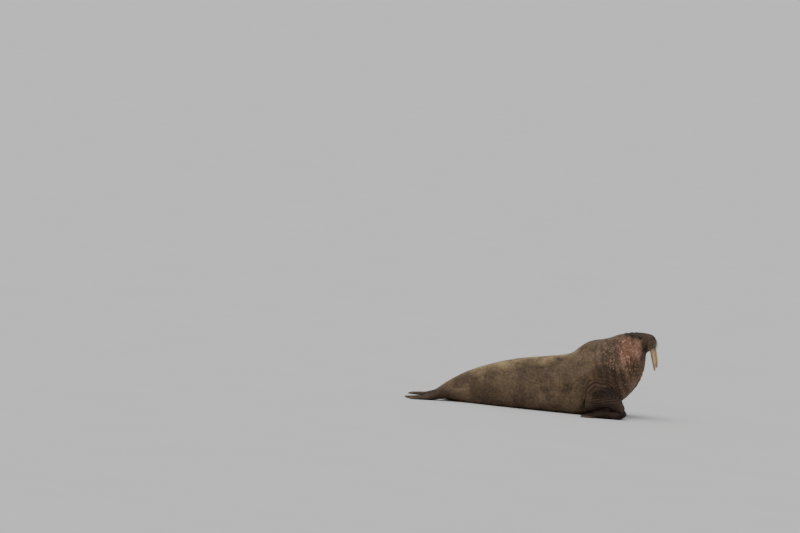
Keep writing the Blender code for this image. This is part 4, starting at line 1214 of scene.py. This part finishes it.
def tuft_points(root, normal, rng):
    """The seven points of a tuft on each root: a flat blade with a low ridge, which bends once."""
    amount = len(root)
    lie = lie_of_coat(root, normal)
    stray = rng.normal(0.0, TUFT_STRAY, (amount, 1))
    lie = lie * np.cos(stray) + np.cross(normal, lie) * np.sin(stray)
    across = np.cross(normal, lie)
    length = (coat_length(root) * rng.uniform(*TUFT_LENGTHS, amount))[:, None]
    width = length * 0.055 + 0.00045
    lift = rng.uniform(*TUFT_LIFTS, (amount, 1))
    heel = root - normal * 0.0006
    tip = root + lie * length * np.cos(lift) + normal * length * np.sin(lift)
    bend = root + lie * length * 0.5 * np.cos(lift) + normal * length * (0.62 * np.sin(lift) + 0.03)
    heels = (heel - across * width, heel + across * width, heel + normal * width * 0.7)
    bends = (bend - across * width * 0.7, bend + across * width * 0.7, bend + normal * width * 0.5)
    points = np.stack(heels + bends + (tip,), axis=1)
    points[:, :, 2] = np.maximum(points[:, :, 2], 0.0004)
    return points


def make_coat(skin, amount):
    """Short, sparse hair in tufts that lie back along the body, in pieces."""
    rng = np.random.default_rng(COAT_SEED)
    root, normal, place, carved = scatter_roots(skin.data, amount, rng)
    points = tuft_points(root, normal, rng)
    pieces = []
    for start in range(0, amount, TUFTS_IN_PIECE):
        chosen = slice(start, start + TUFTS_IN_PIECE)
        name = "coat_%d" % (len(pieces) + 1)
        pieces.append(coat_piece(name, points[chosen], place[chosen], carved[chosen]))
    return pieces


def coat_piece(name, points, place, carved):
    """Joins tufts into one mesh, each a patch on the skin's unwrap that carries the relief at its root."""
    tufts, in_tuft = points.shape[:2]
    faces = (TUFT_FACES[None] + (np.arange(tufts) * in_tuft)[:, None, None]).reshape(-1, 3)
    flat = place[:, None, None, :] + TUFT_PATCH[TUFT_FACES][None]
    mesh = bpy.data.meshes.new(name)
    mesh.vertices.add(tufts * in_tuft)
    mesh.vertices.foreach_set("co", points.ravel())
    mesh.loops.add(len(faces) * 3)
    mesh.loops.foreach_set("vertex_index", faces.ravel())
    mesh.polygons.add(len(faces))
    mesh.polygons.foreach_set("loop_start", np.arange(len(faces)) * 3)
    mesh.polygons.foreach_set("use_smooth", np.zeros(len(faces), dtype=bool))
    mesh.update(calc_edges=True)
    mesh.uv_layers.new(name=FLAT_MAP).data.foreach_set("uv", flat.ravel())
    relief = np.repeat(carved.ravel(), in_tuft)
    mesh.attributes.new(RELIEF, "FLOAT", "POINT").data.foreach_set("value", relief)
    return add_piece(name, mesh)


def coat_share(points):
    """How thick the hair stands, from 0 to 1. There is none on the soles, the nose and the lips."""
    local = points - (ORIGIN_SHIFT, 0.0, 0.0)
    share = smooth_step(0.003, 0.012, local[:, 2])
    hand = smooth_step(0.42, 0.26, local[:, 2]) * smooth_step(0.42, 0.52, np.abs(local[:, 1]))
    share *= 1.0 - 0.55 * hand
    face = smooth_step(0.62, 0.80, local[:, 0])
    return share * (1.0 + 2.2 * face) * (1.0 - smooth_step(0.90, 0.94, local[:, 0]))


def coat_length(points):
    """How long the hair is: shortest on the face, the flippers and a bull's neck."""
    local = points - (ORIGIN_SHIFT, 0.0, 0.0)
    hand = smooth_step(0.42, 0.26, local[:, 2]) * smooth_step(0.42, 0.52, np.abs(local[:, 1]))
    hind = smooth_step(-2.0, -2.2, local[:, 0])
    face = smooth_step(0.60, 0.80, local[:, 0])
    neck = smooth_step(0.0, 0.30, local[:, 0]) * (1.0 - face)
    return COAT_LENGTH * (1.0 - 0.60 * np.maximum(hand, hind)) * (1.0 - 0.65 * face) * (1.0 - 0.62 * neck)


# Shader helpers


def node(tree, kind, inputs, **settings):
    """Adds a shader node with its settings, and its inputs by name or number as values or links."""
    made = tree.nodes.new("ShaderNode" + kind)
    for name, value in settings.items():
        setattr(made, name, value)
    for key, value in inputs.items():
        if isinstance(value, bpy.types.NodeSocket):
            tree.links.new(value, made.inputs[key])
        else:
            made.inputs[key].default_value = value
    return made


def maths(tree, operation, first, second=0.0):
    return node(tree, "Math", {0: first, 1: second}, operation=operation).outputs[0]


def between(tree, value, low, high, smallest=0.0, largest=1.0):
    """A smooth rise from smallest at low to largest at high."""
    inputs = {"Value": value, "From Min": low, "From Max": high, "To Min": smallest, "To Max": largest}
    return node(tree, "MapRange", inputs, interpolation_type="SMOOTHSTEP").outputs[0]


def mixed(tree, factor, first, second, blend="MIX"):
    made = node(tree, "Mix", {0: factor, 6: first, 7: second}, data_type="RGBA", blend_type=blend)
    return made.outputs[2]


def noisy(tree, place, scale, detail=3.0, roughness=0.55, stretch=None):
    """Noise from 0 to 1. Stretch gives how many times finer it is along each axis."""
    if stretch:
        place = node(tree, "VectorMath", {0: place, 1: stretch}, operation="MULTIPLY").outputs[0]
    inputs = {"Vector": place, "Scale": scale, "Detail": detail, "Roughness": roughness}
    return node(tree, "TexNoise", inputs).outputs[0]


def celled(tree, place, scale, stretch):
    """How far a point is inside its cell, for the grain of the skin."""
    place = node(tree, "VectorMath", {0: place, 1: stretch}, operation="MULTIPLY").outputs[0]
    return node(tree, "TexVoronoi", {"Vector": place, "Scale": scale}, feature="DISTANCE_TO_EDGE").outputs[0]


def inside(tree, place, centre, radii, soft=0.5):
    """How far a point is inside an ellipsoid: 1 in its middle, fading to 0 at its rim."""
    offset = node(tree, "VectorMath", {0: place, 1: centre}, operation="SUBTRACT").outputs[0]
    scaled = node(tree, "VectorMath", {0: offset, 1: radii}, operation="DIVIDE").outputs[0]
    length = node(tree, "VectorMath", {0: scaled}, operation="LENGTH").outputs[1]
    return between(tree, length, 1.0, 1.0 - soft)


def contour(tree, place, scale, stretch, width):
    """Thin winding lines, 0 on a line and 1 away from it, for wrinkles."""
    level = noisy(tree, place, scale, 2.0, 0.5, stretch)
    away = maths(tree, "ABSOLUTE", maths(tree, "SUBTRACT", level, 0.5))
    return between(tree, away, 0.0, width)


def shifted(tree, place, scale, amount):
    """The place moved about by noise, by up to half the amount each way."""
    drift = node(tree, "TexNoise", {"Vector": place, "Scale": scale, "Detail": 2.0}).outputs[1]
    drift = node(tree, "VectorMath", {0: drift, 1: (0.5, 0.5, 0.5)}, operation="SUBTRACT").outputs[0]
    drift = node(tree, "VectorMath", {0: drift, 1: (amount, amount, amount)}, operation="MULTIPLY").outputs[0]
    return node(tree, "VectorMath", {0: place, 1: drift}, operation="ADD").outputs[0]


def head_coordinates(tree, place):
    """The place in the head's own frame, with the right side laid over the left one."""
    back = head_place().inverted()
    settings = {"Vector": place, "Location": back.to_translation(), "Rotation": back.to_euler()}
    return laid_over(tree, node(tree, "Mapping", settings).outputs[0])


def laid_over(tree, place):
    """The place with the right side laid over the left one."""
    parts = node(tree, "SeparateXYZ", {0: place}).outputs
    side = maths(tree, "ABSOLUTE", parts[1])
    return node(tree, "CombineXYZ", {0: parts[0], 1: side, 2: parts[2]}).outputs[0]


def lit_back_band(tree, place, warped):
    """The band of painted light along the top of the back, broken up by noise."""
    band = 0.0
    for centre in BAND_CENTRES:
        band = maths(tree, "MAXIMUM", band, inside(tree, warped, centre, BAND_RADII, 0.9))
    broken = between(tree, noisy(tree, place, 3.4, 4.0, 0.6), 0.28, 0.56)
    return maths(tree, "MULTIPLY", maths(tree, "MULTIPLY", band, broken), 0.95)


def body_colours(tree, place, bull, warped):
    """The markings of the body, with painted light along the back and on the low chest and painted shade on
    the belly and in the arm pits, and from the carved relief the pale bosses with a painted highlight and
    painted shade in the hollows.
    """
    relief = node(tree, "Attribute", {}, attribute_name=RELIEF).outputs["Fac"]
    colour = mixed(tree, noisy(tree, place, 2.3, 4.0), BODY_DARK, BODY_LIGHT)
    colour = mixed(tree, lit_back_band(tree, place, warped), colour, BACK_LIGHT)
    for centre, radii, paint, strength in MARKINGS:
        factor = inside(tree, warped, centre, radii)
        colour = mixed(tree, maths(tree, "MULTIPLY", factor, strength), colour, paint)
    # Raised skin of the neck takes the bosses' paler colour with a painted highlight, and carved hollows take
    # painted shade
    raised = maths(tree, "MULTIPLY", between(tree, relief, -0.10, 0.70), bull)
    colour = mixed(tree, maths(tree, "MULTIPLY", raised, 0.24), colour, BOSS_TONE_AND_HIGHLIGHT)
    return mixed(tree, between(tree, relief, 0.05, -0.80), colour, HOLLOW_SHADE, "MULTIPLY")


def face_colours(tree, place, colour):
    """The markings of the face over a colour, with painted shade in the nostril slits, round the eyes and in
    the ear openings. The smallest ones have crisp rims.
    """
    head = head_coordinates(tree, place)
    nearby = shifted(tree, head, 12.0, 0.03)
    for centre, radii, paint, strength, soft in FACE_MARKINGS:
        factor = inside(tree, nearby if min(radii) > 0.02 else head, centre, radii, soft)
        colour = mixed(tree, maths(tree, "MULTIPLY", factor, strength), colour, paint)
    return colour


def hide_marks(tree):
    """What skin and coat share: each point's place, how bossed it is there, and its colour."""
    place = node(tree, "TexCoord", {}).outputs["Object"]
    warped = shifted(tree, laid_over(tree, place), 3.2, 0.16)
    bull = inside(tree, warped, *BOSS_PLACE)
    colour = face_colours(tree, place, body_colours(tree, place, bull, warped))
    blotches = between(tree, noisy(tree, place, 7.5, 5.0, 0.6), 0.50, 0.68)
    colour = mixed(tree, maths(tree, "MULTIPLY", blotches, 0.30), colour, BLOTCH)
    for scale, low, high, strength in MOTTLES:
        share = between(tree, noisy(tree, place, scale, 4.0, 0.6), low, high)
        colour = mixed(tree, strength, colour, mixed(tree, share, SHADE_TINT, LIGHT_TINT), "MULTIPLY")
    return place, bull, colour


def principled(name):
    material = bpy.data.materials.new(name)
    material.use_nodes = True
    return material, material.node_tree, material.node_tree.nodes["Principled BSDF"]


def summed(tree, forms):
    """The sum of several forms, each times its amount."""
    parts = [maths(tree, "MULTIPLY", form, amount) for form, amount in forms]
    total = parts[0]
    for part in parts[1:]:
        total = maths(tree, "ADD", total, part)
    return total


def skin_material():
    material, tree, shader = principled("hide")
    place, bull, colour = hide_marks(tree)
    wrinkles = contour(tree, shifted(tree, place, 9.0, 0.04), 15.0, (1.5, 1.0, 0.50), 0.030)
    patches = between(tree, noisy(tree, place, 3.1, 3.0), 0.48, 0.66)
    fine_wrinkles = contour(tree, place, 52.0, (1.3, 1.0, 0.60), 0.080)
    pebbles = celled(tree, shifted(tree, place, 30.0, 0.030), 80.0, (1.0, 1.0, 0.70))
    pebbles = between(tree, pebbles, 0.0, 0.30)
    grain = celled(tree, shifted(tree, place, 90.0, 0.006), 210.0, (1.0, 1.0, 0.75))
    grain = between(tree, grain, 0.0, 0.22)
    hairs = noisy(tree, place, 520.0, 2.0, 0.6, (0.08, 1.0, 0.40))
    # Painted shade: the wrinkle lines in their patches, the pits between the bosses and the fine wrinkles are
    # darkened towards the crease colour
    lines = maths(tree, "MULTIPLY", between(tree, wrinkles, 1.0, 0.0), patches)
    pits = maths(tree, "MULTIPLY", between(tree, pebbles, 1.0, 0.0), bull)
    for factor, most in ((lines, 0.12), (pits, 0.14), (between(tree, fine_wrinkles, 1.0, 0.0), 0.08)):
        colour = mixed(tree, maths(tree, "MULTIPLY", factor, most), colour, CREASE_SHADE)
    colour = mixed(tree, between(tree, hairs, 0.40, 0.75, 0.0, 0.30), colour, HAIR_TINT, "MULTIPLY")
    tree.links.new(colour, shader.inputs["Base Color"])
    roughness = between(tree, noisy(tree, place, 11.0, 4.0), 0.3, 0.7, 0.52, 0.72)
    tree.links.new(roughness, shader.inputs["Roughness"])
    shader.inputs["Specular IOR Level"].default_value = 0.20
    lumps = noisy(tree, place, 60.0, 4.0, 0.6)
    swells = noisy(tree, place, 17.0, 4.0, 0.55, (1.0, 1.0, 0.5))
    forms = [(pits, -0.15), (lines, -0.30), (fine_wrinkles, 0.15), (grain, 0.12), (hairs, 0.10)]
    forms += [(lumps, 0.50), (swells, 1.5)]
    bump = node(tree, "Bump", {"Height": summed(tree, forms), "Strength": 0.80, "Distance": 0.0040})
    tree.links.new(bump.outputs[0], shader.inputs["Normal"])
    return material


def coat_material():
    material, tree, shader = principled("hair")
    place, _, colour = hide_marks(tree)
    streaks = noisy(tree, place, 300.0, 1.0)
    colour = mixed(tree, between(tree, streaks, 0.35, 0.65), colour, HAIR_TINT, "MULTIPLY")
    tree.links.new(colour, shader.inputs["Base Color"])
    shader.inputs["Roughness"].default_value = 0.60
    shader.inputs["Specular IOR Level"].default_value = 0.20
    return material


def tusk_material():
    material, tree, shader = principled("ivory")
    place = node(tree, "TexCoord", {}).outputs["Object"]
    height = node(tree, "SeparateXYZ", {0: place}).outputs[2]
    streaks = noisy(tree, place, 60.0, 4.0, 0.6, (1.0, 1.0, 0.12))
    cracks = between(tree, noisy(tree, place, 130.0, 5.0, 0.7, (1.0, 1.0, 0.05)), 0.60, 0.68)
    colour = mixed(tree, between(tree, streaks, 0.35, 0.65), IVORY_LIGHT, IVORY)
    stains = between(tree, noisy(tree, place, 9.0, 3.0), 0.45, 0.70, 0.0, 0.55)
    for stained in (stains, between(tree, height, 1.02, 1.10, 0.0, 0.75)):
        colour = mixed(tree, stained, colour, IVORY_STAIN)
    # Painted shade on the side of each tusk that faces back, strongest on its lower part
    facing = node(tree, "SeparateXYZ", {0: node(tree, "NewGeometry", {}).outputs["Normal"]}).outputs[0]
    behind = between(tree, facing, 0.10, -0.75)
    behind = maths(tree, "MULTIPLY", behind, between(tree, height, 1.02, 0.90, 0.15, 0.90))
    behind = maths(tree, "MULTIPLY", behind, between(tree, streaks, 0.35, 0.60, 0.55, 1.0))
    tip = maths(tree, "MULTIPLY", between(tree, height, 0.86, 0.75, 0.0, 0.55), noisy(tree, place, 45.0))
    # Darker with wear towards the tip and in the cracks, and with painted shade on the back
    for patches in (behind, tip, maths(tree, "MULTIPLY", cracks, 0.5)):
        colour = mixed(tree, patches, colour, IVORY_WEAR_AND_SHADE)
    tree.links.new(colour, shader.inputs["Base Color"])
    tree.links.new(between(tree, streaks, 0.3, 0.7, 0.28, 0.46), shader.inputs["Roughness"])
    shader.inputs["Subsurface Weight"].default_value = 0.08
    shader.inputs["Subsurface Scale"].default_value = 0.01
    height = maths(tree, "SUBTRACT", streaks, cracks)
    bump = node(tree, "Bump", {"Height": height, "Strength": 0.35, "Distance": 0.0008})
    tree.links.new(bump.outputs[0], shader.inputs["Normal"])
    return material


def eye_material():
    material, tree, shader = principled("eye")
    place = node(tree, "TexCoord", {}).outputs["Object"]
    parts = node(tree, "SeparateXYZ", {0: place}).outputs
    flat = node(tree, "CombineXYZ", {0: parts[0], 1: parts[1]}).outputs[0]
    away = node(tree, "VectorMath", {0: flat}, operation="LENGTH").outputs[1]
    fibres = noisy(tree, place, 900.0, 3.0, 0.6)
    colour = mixed(tree, between(tree, away, 0.0096, 0.0108), IRIS, EYE_WHITE)
    colour = mixed(tree, between(tree, fibres, 0.4, 0.7, 0.0, 0.35), colour, IRIS_LIGHT)
    colour = mixed(tree, between(tree, away, 0.0052, 0.0044), colour, PUPIL)
    tree.links.new(colour, shader.inputs["Base Color"])
    shader.inputs["Roughness"].default_value = 0.06
    shader.inputs["Specular IOR Level"].default_value = 0.30
    return material


def horn_material(name, dark, light, roughness):
    """For whiskers and nails: streaked from a dark to a light colour."""
    material, tree, shader = principled(name)
    place = node(tree, "TexCoord", {}).outputs["Object"]
    streaks = noisy(tree, place, 160.0, 3.0, 0.6)
    tree.links.new(mixed(tree, between(tree, streaks, 0.3, 0.7), dark, light), shader.inputs["Base Color"])
    shader.inputs["Roughness"].default_value = roughness
    bump = node(tree, "Bump", {"Height": streaks, "Strength": 0.3, "Distance": 0.0004})
    tree.links.new(bump.outputs[0], shader.inputs["Normal"])
    return material


def floor_material():
    material, tree, shader = principled("floor")
    place = node(tree, "TexCoord", {}).outputs["Object"]
    tone = mixed(tree, noisy(tree, place, 0.6, 3.0), FLOOR_DARK, FLOOR_LIGHT)
    tree.links.new(tone, shader.inputs["Base Color"])
    shader.inputs["Roughness"].default_value = 0.9
    return material


def dress(material, *pieces):
    for piece in pieces:
        piece.data.materials.clear()
        piece.data.materials.append(material)


def make_floor():
    half = FLOOR_SIZE / 2
    mesh = bpy.data.meshes.new("floor")
    corners = [(-half, -half, 0), (half, -half, 0), (half, half, 0), (-half, half, 0)]
    mesh.from_pydata(corners, [], [(0, 1, 2, 3)])
    floor = add_object("floor", mesh)
    dress(floor_material(), floor)


def make_light():
    """Soft daylight from above, a little from the front left, as under an overcast sky."""
    world = bpy.data.worlds.new("sky")
    bpy.context.scene.world = world
    world.use_nodes = True
    background = world.node_tree.nodes["Background"]
    background.inputs["Color"].default_value = SKY
    background.inputs["Strength"].default_value = SKY_STRENGTH
    sun = bpy.data.lights.new("sun", "SUN")
    sun.energy = SUN_STRENGTH
    sun.angle = math.radians(SUN_WIDTH)
    sun.color = SUNLIGHT
    add_object("sun", sun).rotation_euler = [math.radians(angle) for angle in SUN_ANGLES]


def make_camera():
    """A long lens from the photograph's side and height, rolled as far as the shore there slopes."""
    turn, rise, roll = (math.radians(angle) for angle in (CAMERA_TURN, CAMERA_RISE, CAMERA_ROLL))
    back = Vector((math.sin(turn) * math.cos(rise), -math.cos(turn) * math.cos(rise), math.sin(rise)))
    facing = (-back).to_track_quat("-Z", "Y").to_matrix()
    level_right, level_up = facing.col[0].copy(), facing.col[1].copy()
    right = level_right * math.cos(roll) + level_up * math.sin(roll)
    up = level_up * math.cos(roll) - level_right * math.sin(roll)
    aside, above = FRAME_WIDTH / 2 - ANCHOR_PIXEL[0], ANCHOR_PIXEL[1] - FRAME_HEIGHT / 2
    target = Vector((ORIGIN_SHIFT, 0, 0)) + right * (aside / PIXELS_PER_METRE)
    target += up * (above / PIXELS_PER_METRE)
    camera = bpy.data.cameras.new("camera")
    camera.sensor_width = SENSOR_WIDTH
    camera.lens = SENSOR_WIDTH * CAMERA_DISTANCE * PIXELS_PER_METRE / FRAME_WIDTH
    camera.clip_end = CAMERA_REACH
    place = Matrix((right, up, back)).transposed().to_4x4()
    place.translation = target + back * CAMERA_DISTANCE
    holder = add_object("camera", camera)
    holder.matrix_world = place
    bpy.context.scene.camera = holder


skin = make_skin()
dress(skin_material(), skin)
dress(tusk_material(), *[make_tusk("tusk_" + word, side) for word, side in SIDES])
dress(eye_material(), *[make_eye("eye_" + word, side) for word, side in SIDES])
dress(horn_material("whisker", WHISKER_DARK, WHISKER_LIGHT, 0.40), make_whiskers(skin))
dress(horn_material("nail", NAIL_DARK, NAIL_LIGHT, 0.45), make_nails(skin))
dress(coat_material(), *make_coat(skin, TUFTS))
make_floor()
make_light()
make_camera()
